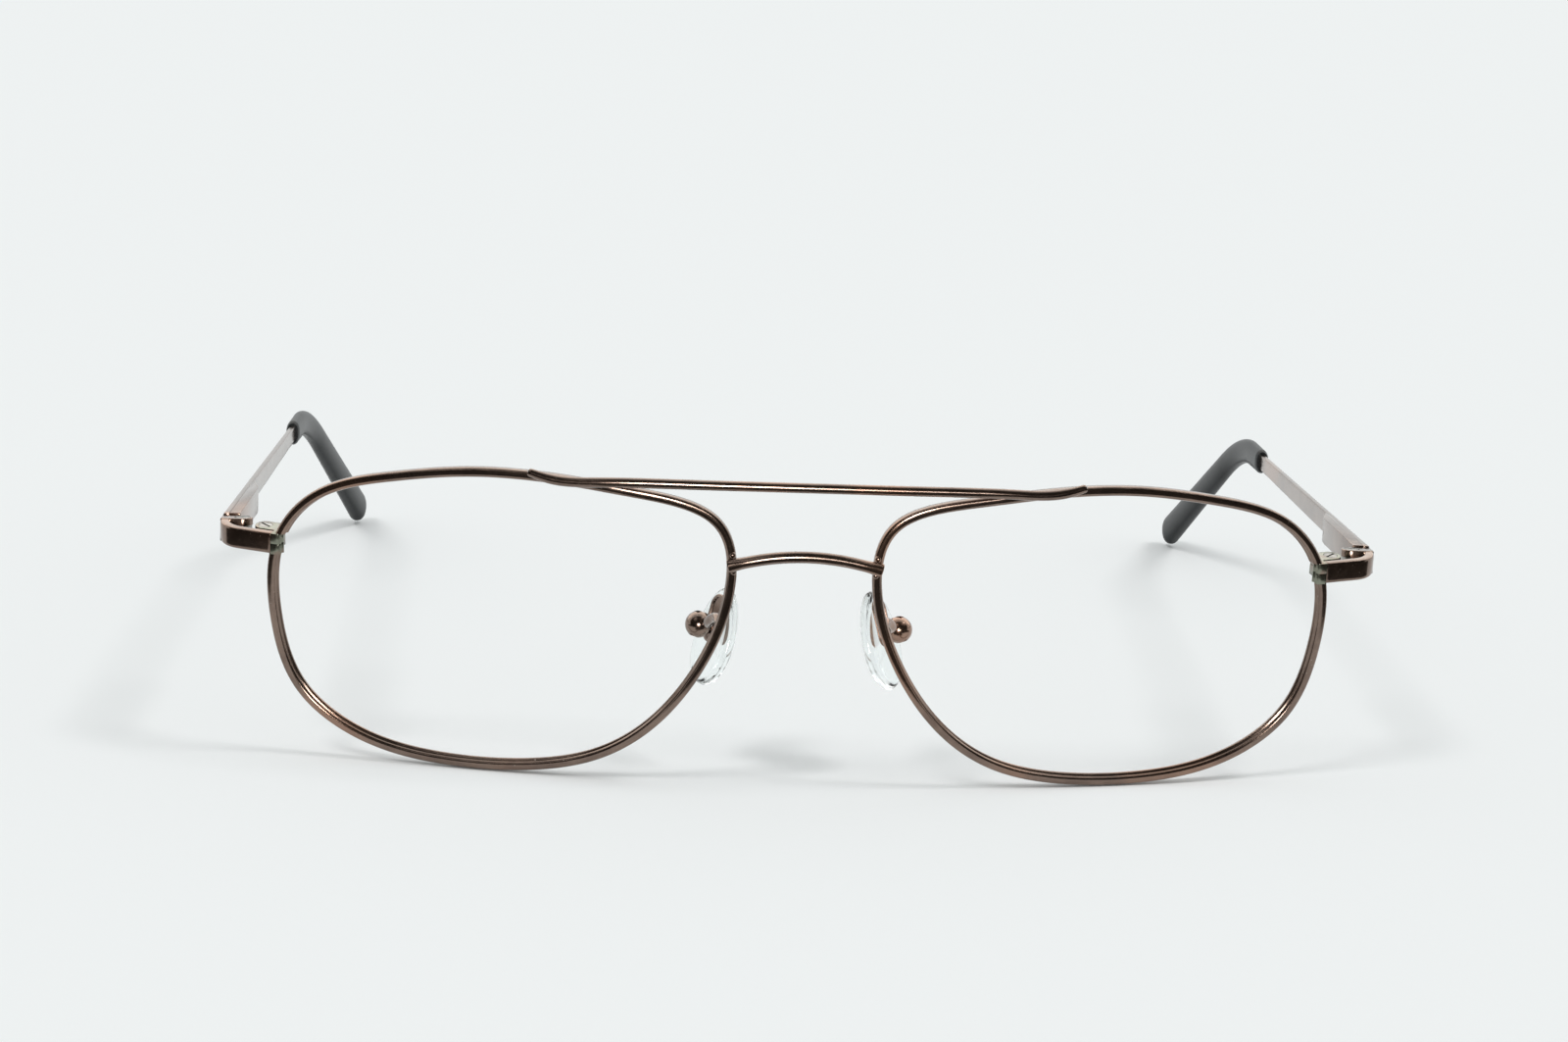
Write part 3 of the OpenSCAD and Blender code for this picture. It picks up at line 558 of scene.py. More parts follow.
def turned(profile, place=None, count=40):
    """Spins a profile of (radius, height) about Z. Its first and last radius are 0."""
    bm = bmesh.new()
    verts = [bm.verts.new((radius, 0, height)) for radius, height in profile]
    edges = [bm.edges.new(pair) for pair in zip(verts, verts[1:])]
    bmesh.ops.spin(bm, geom=verts + edges, cent=(0, 0, 0), axis=(0, 0, 1), dvec=(0, 0, 0),
                   angle=2 * math.pi, steps=count, use_merge=True, use_duplicate=False)
    bmesh.ops.remove_doubles(bm, verts=bm.verts, dist=1e-5)
    bmesh.ops.recalc_face_normals(bm, faces=bm.faces)
    return moved(bm, place)


def combined(kind, base, other):
    """Joins two closed meshes as a union or a difference, and frees both."""
    carriers = []
    for name, bm in (("base", base), ("other", other)):
        bmesh.ops.recalc_face_normals(bm, faces=bm.faces)
        carriers.append(linked(name, mesh_from(name, bm)))
    cut = carriers[0].modifiers.new("cut", "BOOLEAN")
    cut.operation, cut.solver, cut.object = kind, "EXACT", carriers[1]
    cut.use_self = True
    result = bmesh.new()
    result.from_object(carriers[0], bpy.context.evaluated_depsgraph_get())
    for carrier in carriers:
        mesh = carrier.data
        bpy.data.objects.remove(carrier)
        bpy.data.meshes.remove(mesh)
    bmesh.ops.remove_doubles(result, verts=result.verts, dist=1e-4)
    bmesh.ops.dissolve_degenerate(result, edges=result.edges, dist=1e-4)
    return result


def union(base, other):
    return combined("UNION", base, other)


def without(base, other):
    return combined("DIFFERENCE", base, other)


def block(low, high, place=None, edge=0.0):
    """A rectangular bar between two corners."""
    corners = plan((low[0], low[1]), (high[0], low[1]), (high[0], high[1]), (low[0], high[1]))
    return prism(corners, low[2], high[2], place, edge)


def rod(radius, low, high, place=None, count=40):
    """A plain cylinder along Z."""
    return turned([(0, low), (radius, low), (radius, high), (0, high)], place, count)


def drilled(bm, radius, place, low=-THROUGH, high=THROUGH, count=40):
    """Cuts a round hole along the Z axis of a place."""
    return without(bm, rod(radius, low, high, place, count))


def screw(place, shank, head, below, head_height=0.4, slot_width=0.28, slot_depth=0.2):
    """A slotted screw: its head's underside at z = 0, its shank reaching below."""
    r, e = head / 2, 0.08
    bm = turned([(0, -below), (shank / 2 - e, -below), (shank / 2, -below + e),
                 (shank / 2, 0), (r - e / 2, 0), (r, e / 2), (r, head_height - e),
                 (r - e * 0.3, head_height - e * 0.3), (r - e, head_height), (0, head_height)])
    bm = without(bm, block((-head, -slot_width / 2, head_height - slot_depth),
                           (head, slot_width / 2, head_height + 1)))
    return moved(bm, place)


ALONG_Y = Matrix.Rotation(-math.pi / 2, 4, "X")


def add_piece(design, finish, side, name, bm, body, slot_name, look, node, sharp=35.0):
    """Stands a piece on its side of the frame and hands it to the body that it moves with.

    The names of the piece, of the node that it replaces and of a moving body start with the
    side. Pieces of the middle have none.
    """
    prefix = "" if side == MIDDLE else side + "_"
    place = design.stand
    if side == RIGHT:
        place = place @ Matrix.Scale(-1, 4, (1, 0, 0))
    moved(bm, place)
    if side == RIGHT:
        bmesh.ops.reverse_faces(bm, faces=bm.faces)
    mesh = mesh_from(prefix + name, bm)
    mesh.shade_smooth()
    mesh.set_sharp_from_angle(angle=math.radians(sharp))
    mesh.materials.append(finish[look])
    piece = linked(prefix + name, mesh)
    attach(piece, body if body == "front" else prefix + body)
    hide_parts(*([prefix + node] if node else []))


# Finishes

def arithmetic(operation, reflected=False):
    """One of Value's operators; reflected where the Value stands on the right."""
    def apply(self, other):
        return self.math(operation, *((other, self) if reflected else (self, other)))
    return apply


class Value:
    """A number or colour that varies over a surface; Python's operators add its Math nodes."""

    def __init__(self, finish, socket):
        self.finish = finish
        self.socket = socket

    def math(self, operation, *terms):
        return self.finish.node("ShaderNodeMath", {"operation": operation},
                                dict(enumerate(terms)))

    __add__, __radd__ = arithmetic("ADD"), arithmetic("ADD", True)
    __sub__, __rsub__ = arithmetic("SUBTRACT"), arithmetic("SUBTRACT", True)
    __mul__, __rmul__ = arithmetic("MULTIPLY"), arithmetic("MULTIPLY", True)

    def between(self, low, high):
        """0 below low, 1 above high and a smooth step between them."""
        return self.finish.node("ShaderNodeMapRange", {"interpolation_type": "SMOOTHSTEP"},
                                {0: self, 1: low, 2: high})


class Finish:
    """One material, or the world, and the nodes that make it."""

    def __init__(self, name, world=None):
        self.material = world or bpy.data.materials.new(name)
        self.material.use_nodes = True
        self.tree = self.material.node_tree
        self.tree.nodes.clear()
        self.coordinates = self.node("ShaderNodeTexCoord", output="Object")

    def node(self, kind, settings=None, inputs=None, output=0):
        """Adds a node: its settings first, then the values or links of its sockets."""
        made = self.tree.nodes.new(kind)
        for name, value in (settings or {}).items():
            setattr(made, name, value)
        for name, value in (inputs or {}).items():
            socket = made.inputs[name]
            if isinstance(value, Value):
                self.tree.links.new(value.socket, socket)
            elif isinstance(value, (tuple, list)) and socket.type == "RGBA" and len(value) == 3:
                socket.default_value = (*value, 1.0)
            else:
                socket.default_value = value
        return Value(self, made.outputs[output]) if made.outputs else made

    def mix(self, factor, first, second):
        """A colour between two others."""
        return self.node("ShaderNodeMix", {"data_type": "RGBA"},
                         {0: factor, 6: first, 7: second}, output=2)

    def noise(self, scale, detail=2.0, roughness=0.5, at=None):
        """Smooth noise from 0 to 1; a larger scale is finer."""
        return self.node("ShaderNodeTexNoise", None,
                         {"Vector": at or self.coordinates, "Scale": scale, "Detail": detail,
                          "Roughness": roughness})

    def grain(self, stretch):
        """Coordinates of drawn wire: its section and its length, drawn out by stretch."""
        place = self.node("ShaderNodeAttribute",
                          {"attribute_type": "GEOMETRY", "attribute_name": "grain"},
                          output="Vector")
        return self.node("ShaderNodeVectorMath", {"operation": "MULTIPLY"},
                         {0: place, 1: (1.0, 1.0, 1.0 / stretch)})

    def bump(self, height, strength, distance):
        """Fine relief, its distance in metres."""
        return self.node("ShaderNodeBump", None,
                         {"Strength": strength, "Distance": distance, "Height": height})

    def surface(self, **sockets):
        """Closes the material with a Principled surface; names use _ for spaces."""
        named = {name.replace("_", " "): value for name, value in sockets.items()}
        shader = self.node("ShaderNodeBsdfPrincipled", None, named)
        self.node("ShaderNodeOutputMaterial", None, {"Surface": shader})
        return self.material


def plated(name, tint, dark, copper, drawn):
    """Bronze-brown plating, coppery where it is thin: streaks, faint mottling and tiny nicks."""
    finish = Finish(name)
    mottle = finish.noise(260.0, 3.0, 0.6)
    cloud = finish.noise(70.0, 2.0)
    nicks = finish.noise(4300.0, 1.0).between(0.745, 0.785) * cloud.between(0.46, 0.60)
    if drawn:
        streaks = finish.noise(9.0, 3.0, 0.65, at=finish.grain(14.0))
    else:
        streaks = finish.noise(900.0, 3.0, 0.6)
    depth = mottle.between(0.34, 0.66) * 0.55 + streaks.between(0.3, 0.7) * 0.45
    tone = finish.mix(depth, dark, tint)
    thin = finish.noise(46.0, 2.0).between(0.54, 0.66)
    tone = finish.mix(thin * 0.36, tone, copper)
    tone = finish.mix(nicks * 0.7, tone, (0.80, 0.72, 0.64))
    peel = finish.noise(1500.0, 2.0) * 0.35 + streaks * 0.65 - nicks * 0.8
    return finish.surface(
        Base_Color=tone, Metallic=1.0, Roughness=0.11 + 0.13 * streaks + 0.15 * nicks,
        Coat_Weight=0.3, Coat_Roughness=0.06, Coat_IOR=1.5,
        Normal=finish.bump(peel, strength=0.10, distance=0.00003))


def block_metal(name, tint, plating):
    """Greenish nickel silver that shows where the blocks' plating is filed thin."""
    finish = Finish(name)
    flow = finish.noise(1400.0, 3.0, 0.6)
    worn = finish.noise(520.0, 2.0, 0.5)
    tone = finish.mix(worn.between(0.36, 0.56), plating, tint)
    tone = finish.mix(flow.between(0.3, 0.7) * 0.5, tone, tuple(c * 0.7 for c in tint))
    return finish.surface(Base_Color=tone, Metallic=1.0, Roughness=0.16 + 0.16 * flow,
                          Coat_Weight=0.2, Coat_Roughness=0.08,
                          Normal=finish.bump(flow, strength=0.15, distance=0.00004))


def turned_steel(name, tint):
    """Steel with the fine rings of turning and darker spots of oil."""
    finish = Finish(name)
    stain = finish.noise(900.0, 3.0, 0.6)
    fine = finish.noise(5200.0, 2.0)
    tone = finish.mix(stain.between(0.42, 0.68), tint, tuple(c * 0.55 for c in tint))
    return finish.surface(Base_Color=tone, Metallic=1.0, Roughness=0.2 + 0.18 * stain,
                          Normal=finish.bump(fine, strength=0.15, distance=0.00002))


def tip_plastic(name, tint):
    """Dark grey plastic: smooth, faintly clouded, with fine handling scratches."""
    finish = Finish(name)
    cloud = finish.noise(120.0, 3.0, 0.55)
    scratches = finish.noise(30.0, 4.0, 0.7, at=finish.grain(30.0))
    tone = finish.mix(cloud.between(0.3, 0.7), tuple(c * 0.75 for c in tint),
                      tuple(c * 1.3 for c in tint))
    return finish.surface(Base_Color=tone, Roughness=0.24 + 0.12 * scratches, IOR=1.46,
                          Specular_IOR_Level=0.2,
                          Normal=finish.bump(scratches + cloud, strength=0.1,
                                             distance=0.00004))


def clear_plastic(name, tint):
    """Clear soft plastic of the nose pads, slightly matt where it has been touched."""
    finish = Finish(name)
    touch = finish.noise(420.0, 3.0, 0.6)
    return finish.surface(Base_Color=tint, Roughness=0.03 + 0.06 * touch.between(0.45, 0.75),
                          IOR=1.45, Transmission_Weight=1.0,
                          Normal=finish.bump(touch, strength=0.04, distance=0.00004))


def finishes(scene):
    """The frame's materials by name, made once."""
    tint = {name: tuple(getattr(scene.eyeglass_finish, name)) for name in Finishes.__annotations__}
    tones = tint["plating"], tint["plating_dark"], tint["plating_thin"]
    makers = {
        "plated wire": (plated, *tones, True),
        "plated strip": (plated, *tones, False),
        "block metal": (block_metal, tint["block"], tint["plating"]),
        "turned steel": (turned_steel, tint["steel"]),
        "tip plastic": (tip_plastic, tint["tip"]),
        "clear pad": (clear_plastic, tint["pad"]),
    }
    return {name: bpy.data.materials.get(name) or make(name, *given)
            for name, (make, *given) in makers.items()}


# Pieces of the front

def rim_section(design):
    """Section of the rim wire, outward and back: a soft front, rolled edges, the lens groove."""
    w, d, g = design.wire_width / 2, design.wire_depth / 2, design.groove
    front = [p for p in squircle(w, 0.97 * d, 2.9, 36) if p.y < -0.02]
    front.sort(key=lambda p: math.atan2(p.y, p.x))
    outer = plan((w, 0.25 * d), (0.96 * w, 0.58 * d), (0.80 * w, 0.86 * d), (0.50 * w, 0.98 * d),
                 (0, d), (-0.50 * w, 0.98 * d), (-0.80 * w, 0.88 * d), (-0.95 * w, 0.66 * d),
                 (-w, 0.50 * d), (-0.98 * w, 0.40 * d))
    groove = plan((0.35 * g - w, 0.22 * d), (0.92 * g - w, 0.04 * d),
                  (0.92 * g - w, -0.05 * d), (0.35 * g - w, -0.26 * d))
    lip = plan((-0.98 * w, -0.38 * d))
    front = [p for p in front if not (p.x < 0 and p.y > -0.42 * d)]
    return front + outer + groove + lip


def rim_wire(design):
    first, last = design.part_t, design.rim_count - design.part_t
    steps = 300
    stations = [design.rim_station(first + (last - first) * k / steps) for k in range(1, steps)]
    half = design.block_height / 2 + SEAT
    stations = [design.rim_end(first, half), *stations, design.rim_end(last, -half)]
    return swept(stations, rim_section(design))


def bar_wire(design):
    """The top bar, its ends thinned and laid on the fronts of the rims."""
    half = design.bar_path()
    points = half + [Vector((-p.x, p.y, p.z)) for p in reversed(half)]
    path = open_curve(points, 180)
    run = run_along(path)
    sizes = []
    for distance in run:
        end = min(distance, run[-1] - distance)
        nose = math.sqrt(max(0.0, 1 - (1 - min(end / BAR_NOSE, 1)) ** 2))
        taper = 0.80 + 0.20 * min(end / BAR_TAPER, 1)
        sizes.append((max(nose, 0.12) * taper,) * 2)
    return swept(path_stations(path, Vector((0, 0, 1)), sizes),
                 circle(design.bar_diameter / 2, 24))


def bridge_wire(design):
    """The bridge: a round arch whose ends spread and lie across the rims."""
    off = -design.wire_depth / 2 - design.bridge_diameter / 2 - SEAT
    end = design.lens_at(-design.rim_width / 2 - BRIDGE_OVERLAP, design.bridge_rise, off)
    knee = Vector((end.x / 2, end.y - 0.3, end.z + design.bridge_arch * 0.75))
    top = Vector((0, end.y - 0.4, end.z + design.bridge_arch))
    path = open_curve([end, knee, top, Vector((-knee.x, knee.y, knee.z)),
                       Vector((-end.x, end.y, end.z))], 96)
    sizes = []
    for p in path:
        spread = smooth_step(max(0.0, 1 - (end.x - abs(p.x)) / BRIDGE_SPREAD))
        sizes.append((1 + 0.16 * spread, 1 - 0.10 * spread))
    bm = bmesh.new()
    stations = path_stations(path, Vector((0, 0, 1)), sizes)
    ends = sweep(bm, stations, circle(design.bridge_diameter / 2, 28))
    round_edges(bm, [e for f in ends for e in f.edges], 0.16, 3)
    return bm


def bead(place, wide, high, deep):
    """A drop of solder: a flattened ball."""
    bm = bmesh.new()
    bmesh.ops.create_icosphere(bm, subdivisions=3, radius=1.0)
    return moved(bm, place @ Matrix.Diagonal((wide, deep, high, 1)))


def merged(parts):
    """Several closed shapes in one mesh, where they only touch or sink into each other."""
    whole = bmesh.new()
    for part in parts:
        mesh = mesh_from("part", part)
        whole.from_mesh(mesh)
        bpy.data.meshes.remove(mesh)
    return whole


def bridge_solder(design):
    """Beads of solder above and below the bridge's end."""
    t = rim_t_at(design, -design.rim_width / 2 - BRIDGE_OVERLAP, design.bridge_rise)
    lift = Matrix.Translation((0.16, -0.80 * design.wire_depth / 2, 0))
    return merged([bead(design.rim_station(t + shift) @ lift, size, size * 1.1, size * 0.95)
                   for shift, size in ((-0.110, 0.40), (0.110, 0.37))])


def rim_t_at(design, u, v):
    """The rim's parameter nearest to a place on the lens."""
    goal = Vector((u, v))
    return min((k * 0.01 for k in range(100 * design.rim_count)),
               key=lambda t: (design.rim_uv(t) - goal).length)


def block_outline(design):
    """Plan of a closing block: nose between the wire's ends, ear behind the end piece."""
    n, d = design.block_nose / 2, design.wire_depth / 2
    near, far = design.block_front, design.block_front + design.block_depth
    out = design.rim_screw_out
    g = design.groove
    ear = arc((out, (near + far) / 2), design.block_depth / 2, -90, 90, 20)
    inner = plan((-0.35 * n, d), (-0.72 * n, 0.86 * d), (-0.92 * n, 0.55 * d), (-0.95 * n, g),
                 (g - n, 0), (-0.92 * n, -g), (-0.84 * n, -0.55 * d), (-0.62 * n, -0.84 * d),
                 (-0.25 * n, -0.98 * d), (0.1 * n, -d))
    return plan((n, -d), (n, near)) + ear + plan((n - 0.3, far), (n - 0.3, d)) + inner


def closing_half(design, upper):
    half, cut = design.block_height / 2, design.saw_cut / 2
    low, high = (cut, half) if upper else (-half, -cut)
    bm = prism(block_outline(design), low, high, edge=0.035)
    hole = Matrix.Translation(design.rim_screw_at)
    bm = drilled(bm, RIM_SCREW / 2 + SEAT, hole)
    if upper:
        bm = drilled(bm, design.rim_screw_head / 2 + SEAT, hole, low=half - HEAD_SEAT)
    return moved(bm, design.slanted)


def rim_screw(design):
    up = Vector((0, 0, design.block_height / 2 - HEAD_BELOW))
    place = (design.slanted @ Matrix.Translation(design.rim_screw_at + up)
             @ Matrix.Rotation(math.radians(30), 4, "Z"))
    return screw(place, RIM_SCREW, design.rim_screw_head, below=design.block_height - 0.42)


def strip_path(design):
    """Stations of the end piece's strip: slanted face, round corner, side wall, level hinge."""
    half_t = design.strip_thickness / 2
    r = design.corner_radius
    slant = design.slant
    corner_x = design.end_reach - r
    front = design.plate_front + r
    corner = Vector((corner_x, (corner_x * math.sin(slant) + front) / math.cos(slant)))
    start_along = design.block_nose / 2 + SEAT
    turn = Matrix.Rotation(slant, 2)
    start = turn @ Vector((start_along, design.plate_front + half_t))
    middle_r = r - half_t
    bend_start = corner + turn @ Vector((0, -middle_r))
    line = [start.lerp(bend_start, k / 10) for k in range(10)]
    line += arc(corner, middle_r, math.degrees(slant) - 90, 0, 24)
    end_y = (design.back - STRIP_SHORT - design.parting.y) / math.cos(design.pantoscopic)
    wall_x = corner.x + middle_r
    line += [Vector((wall_x, corner.y + (end_y - corner.y) * k / 14)) for k in range(1, 15)]
    stations = []
    for k, p in enumerate(line):
        a, b = line[max(k - 1, 0)], line[min(k + 1, len(line) - 1)]
        along = (b - a).normalized()
        centre = design.block_matrix @ p.to_3d()
        forward = design.block_matrix.to_3x3() @ along.to_3d()
        level = (p.y - (end_y - LEVEL_START)) / LEVEL_LENGTH if p.x > wall_x - 0.01 else 0.0
        level = smooth_step(min(max(level, 0.0), 1.0))
        up = design.block_up.lerp(Vector((0, 0, 1)), level).normalized()
        forward = (forward - up * forward.dot(up)).normalized()
        centre.z += (design.rise - centre.z) * level
        height = 1 + (design.knuckle_height / design.strip_height - 1) * level
        outward = forward.cross(up)
        stations.append(axes(centre, outward, up * height, forward))
    return stations


def end_piece(design):
    """The forked end piece: a bent strip and the two knuckles of the hinge."""
    section = squircle(design.strip_thickness / 2, design.strip_height / 2, 6.0, 40)
    strip = bmesh.new()
    ends = sweep(strip, strip_path(design), section)
    round_edges(strip, list(ends[0].edges), 0.1)
    r, h = design.knuckle_radius, design.knuckle_height / 2
    reach = design.inset
    place = design.hinge_place
    outline = plan((reach, -r), (reach, r)) + arc((0, 0), r, 90, 270, 28)
    body = union(strip, prism(outline, -h, h, place, edge=0.12, segments=3))
    slot = design.eye_height / 2 + 0.05
    body = without(body, block((-2 * r, 0.04 - r, -slot), (reach - 0.5, 3 * r, slot), place))
    body = drilled(body, design.screw_diameter / 2 + SEAT, place)
    return drilled(body, design.screw_head / 2 + SEAT, place, low=h - HEAD_SEAT)


def hinge_screw(design):
    up = Vector((0, 0, design.knuckle_height / 2 - HEAD_BELOW))
    place = Matrix.Translation(design.hinge + up) @ Matrix.Rotation(math.radians(-25), 4, "Z")
    return screw(place, design.screw_diameter, design.screw_head,
                 below=design.knuckle_height - HEAD_SEAT)


# Pieces of the spring hinge

def slider(design):
    """Eye, guide and rod of the hinge's slider."""
    x, z = design.channel_mid, design.rise
    t = design.channel_depth / 2 - GUIDE_FREE
    half_eye, half_guide = design.eye_height / 2, design.channel_height / 2 - GUIDE_FREE
    eye = rod(design.knuckle_radius - 0.1, -half_eye, half_eye, design.hinge_place)
    front = design.temple_front + GUIDE_BACK
    middle = front + GUIDE_LENGTH / 2
    neck = block((x - t, design.back, z - half_eye), (x + t, middle, z + half_eye))
    guide = block((x - t, front, z - half_guide), (x + t, front + GUIDE_LENGTH, z + half_guide),
                  edge=0.12)
    along = Matrix.Translation((x, 0, z)) @ ALONG_Y
    end = design.rod_end
    pin = rod(ROD_RADIUS, middle, end + 0.1, along, 24)
    r = design.spring_radius + design.spring_wire / 2
    head = turned([(0, end), (r - 0.05, end), (r, end + 0.05), (r, end + ROD_HEAD - 0.08),
                   (r - 0.08, end + ROD_HEAD), (0, end + ROD_HEAD)], along, 32)
    bm = union(union(union(union(neck, guide), eye), pin), head)
    return drilled(bm, design.screw_diameter / 2 + SEAT, design.hinge_place)


def coil(design):
    per_turn = 28
    path = []
    for k in range(SPRING_TURNS * per_turn + 1):
        a = 2 * math.pi * k / per_turn
        path.append(Vector((design.channel_mid + design.spring_radius * math.cos(a),
                            design.spring_start + design.spring_wire / 2
                            + design.spring_pitch * k / per_turn,
                            design.rise + design.spring_radius * math.sin(a))))
    return swept(path_stations(path, Vector((0, 1, 0))), circle(design.spring_wire / 2, 10))


def bush(design):
    x = design.box_out - design.channel_depth
    half = design.channel_height / 2 - SEAT
    bm = block((x + SEAT, design.bush_front, design.rise - half),
               (design.box_out - SEAT, design.bush_front + BUSH_LENGTH, design.rise + half),
               edge=0.06)
    along = Matrix.Translation((design.channel_mid, 0, design.rise)) @ ALONG_Y
    return drilled(bm, ROD_RADIUS + 0.04, along, 0, 60, 24)


def spring_box(design):
    """The box: open at its front and towards the temple, its rear end cut on a slant."""
    x0, x1 = design.box_out - design.box_thickness, design.box_out
    y0 = design.temple_front
    y1 = y0 + design.box_length
    outline = plan((x1, y0), (x1, y1 + 1.3), (x1 - 0.18, y1 + 1.25), (x1 - 0.42, y1 + 0.5),
                   (x0 + 0.40, y1 - 0.9), (x0 + 0.14, y1 - 2.2), (x0, y1 - 4.2), (x0, y0))
    half = design.box_height / 2
    bm = prism(outline, design.rise - half, design.rise + half, edge=0.22, segments=4)
    half_channel = design.channel_height / 2
    return without(bm, block((x1 - design.channel_depth, y0 - 1, design.rise - half_channel),
                             (x1 + 2, design.rod_end + 2 * ROD_HEAD,
                              design.rise + half_channel)))


# Temples and tips

def temple_bar(design):
    """The flat bar, tapering to the tip."""
    y0, y1 = design.temple_front, design.back + design.tip_start - SEAT
    steps = 40
    stations = []
    for k in range(steps + 1):
        part = k / steps
        high = design.height + (design.end_height - design.height) * part
        centre = Vector((design.temple_mid + SEAT / 2, y0 + (y1 - y0) * part, design.rise))
        stations.append(axes(centre, Vector((1, 0, 0)), Vector((0, 0, high / design.height)),
                             Vector((0, 1, 0))))
    bm = bmesh.new()
    ends = sweep(bm, stations, squircle((design.thickness - SEAT) / 2, design.height / 2, 7.0, 40))
    round_edges(bm, list(ends[0].edges), 0.07)
    return bm


def core_wire(design):
    """The wire in the tip, from 3 mm inside the bar to the leg's last quarter."""
    path = [Vector((design.temple_mid, design.back + design.tip_start - 3, design.rise))]
    path += [design.ear_bend(k / 16) for k in range(17)]
    path += [design.leg_at(design.leg_length * part) for part in (0.15, 0.3, 0.45, 0.6, 0.75)]
    return swept(path_stations(path, Vector((1, 0, 0))), circle(CORE_RADIUS, 16))


def tip(design):
    """The plastic tip: an oval that swells behind the ear and ends round."""
    front = Vector((design.temple_mid, design.back + design.tip_start, design.rise))
    path = [front.lerp(design.ear_bend(0), k / 16) for k in range(16)]
    path += [design.ear_bend(k / 24) for k in range(25)]
    leg = design.leg_length
    end = [1 - 2.4 / leg * (1 - math.sin(math.pi / 2 * k / 12)) for k in range(13)]
    path += [design.leg_at(leg * k / 28) for k in range(1, 27) if k / 28 < end[0] - 0.005]
    path += [design.leg_at(leg * part) for part in end]
    run = run_along(path)
    total = run[-1]
    front_wide, front_high = design.tip_front_thickness, design.tip_front_height
    sizes = []
    for distance in run:
        part = distance / total
        wide = front_wide + (design.tip_end_thickness - front_wide) * part
        high = front_high + (design.tip_end_height - front_high) * part ** 1.5
        close = 1 - min((total - distance) / (design.tip_end_height / 2), 1)
        nose = math.sqrt(max(0.0004, 1 - close * close))
        lip = 1 - 0.16 * max(0.0, 1 - distance / 0.5) ** 2
        sizes.append((wide / 2 * nose * lip, high / 2 * nose * lip))
    return swept(path_stations(path, Vector((1, 0, 0)), sizes), squircle(1.0, 1.0, 2.25, 36))


# Nose pads

def pad_arm(design):
    """The arm's wire from the rim's back to its slotted ball."""
    behind = design.wire_depth / 2
    ball = design.ball
    points = [design.rim_at(ARM_ROOT, behind + SEAT), design.rim_at(ARM_ROOT, behind + 1),
              design.rim_at(ARM_ROOT, behind + 2.4) + Vector((0.2, 0, 0.3)),
              ball + Vector((-0.9, -3.5, 1.0)), ball + Vector((-1.25, -1.8, 0.4)),
              ball + Vector((-0.6, -0.7, 0.1))]
    path = open_curve(points, 60)
    sizes = [(1 + 0.22 * max(0.0, 1 - k / 6) ** 2,) * 2 for k in range(len(path))]
    wire = swept(path_stations(path, Vector((1, 0, 0)), sizes),
                 circle(design.arm_diameter / 2, 20))
    knob = bmesh.new()
    bmesh.ops.create_uvsphere(knob, u_segments=40, v_segments=24, radius=design.ball_diameter / 2)
    bm = union(wire, moved(knob, design.pad_matrix))
    d = design.ball_diameter
    half_slot = TONGUE_THICKNESS / 2 + 0.05
    bm = without(bm, block((-d, -half_slot, -d), (0.9, half_slot, d), design.pad_matrix))
    along = design.pad_matrix @ ALONG_Y
    bm = drilled(bm, PAD_SCREW / 2 + SEAT, along, -1.34, d)
    return drilled(bm, PAD_SCREW_HEAD / 2 + 0.05, along, 1, 2 * d)


def holder_outline(design):
    """The holder plate's oval, in the pad's own Y and Z."""
    r = design.holder_width / 2
    run = (design.holder_length - design.holder_width) / 2
    return (arc((0, design.holder_up + run), r, 0, 180, 20)
            + arc((0, design.holder_up - run), r, 180, 360, 20))


def pad_holder(design):
    """The oval plate with its raised rim, and the tongue that sits in the ball."""
    thick = design.holder_thickness
    face = design.pad_matrix @ Matrix(((0, 0, 1, 0), (1, 0, 0, 0), (0, 1, 0, 0), (0, 0, 0, 1)))
    bm = prism(holder_outline(design), design.holder_near - thick, design.holder_near, edge=0.13,
               segments=3)
    top = [max(bm.faces, key=lambda f: (f.normal.z > 0.99, f.calc_area()))]
    bmesh.ops.inset_region(bm, faces=top, thickness=0.30, depth=0.0, use_even_offset=True)
    bmesh.ops.inset_region(bm, faces=top, thickness=0.08, depth=-0.16, use_even_offset=True)
    moved(bm, face)
    half, low = TONGUE_THICKNESS / 2, TONGUE_WIDTH / 2
    tongue = block((design.holder_near - thick / 2, -half, -low), (0, half, low),
                   design.pad_matrix, edge=0.05)
    along = design.pad_matrix @ ALONG_Y
    bm = union(bm, union(tongue, rod(low, -half, half, along)))
    return drilled(bm, PAD_SCREW / 2 + SEAT, along)


def pad_screw(design):
    place = design.pad_matrix @ Matrix.Translation((0, 1.02, 0)) @ ALONG_Y
    return screw(place @ Matrix.Rotation(0.5, 4, "Z"), PAD_SCREW, PAD_SCREW_HEAD, below=2.3,
                 head_height=0.35, slot_width=0.24, slot_depth=0.15)


def nose_pad(design):
    """A soft drop-shaped pad: flat back, crowned face, thin rolled edge."""
    back = design.holder_near - design.holder_thickness / 2
    layers = [(0.0, 0.10), (0.0, 0.45), (0.0, 0.74), (0.03, 0.86), (0.10, 0.94), (0.22, 0.985),
              (0.34, 1.0), (0.46, 0.99), (0.58, 0.96), (0.70, 0.90), (0.80, 0.81), (0.88, 0.69),
              (0.94, 0.53), (0.98, 0.33), (1.0, 0.12)]
    outline = []
    for k in range(48):
        a = 2 * math.pi * k / 48
        narrow = 1 - 0.14 * math.sin(a)
        outline.append(Vector((design.pad_width / 2 * math.cos(a) * narrow,
                               design.pad_length / 2 * math.sin(a))))
    stations = [axes(Vector((back - depth * design.pad_thickness, 0, -0.9)),
                     Vector((0, size, 0)), Vector((0, 0, size)), Vector((-1, 0, 0)))
                for depth, size in layers]
    return swept([design.pad_matrix @ s for s in stations], outline)


# Stage

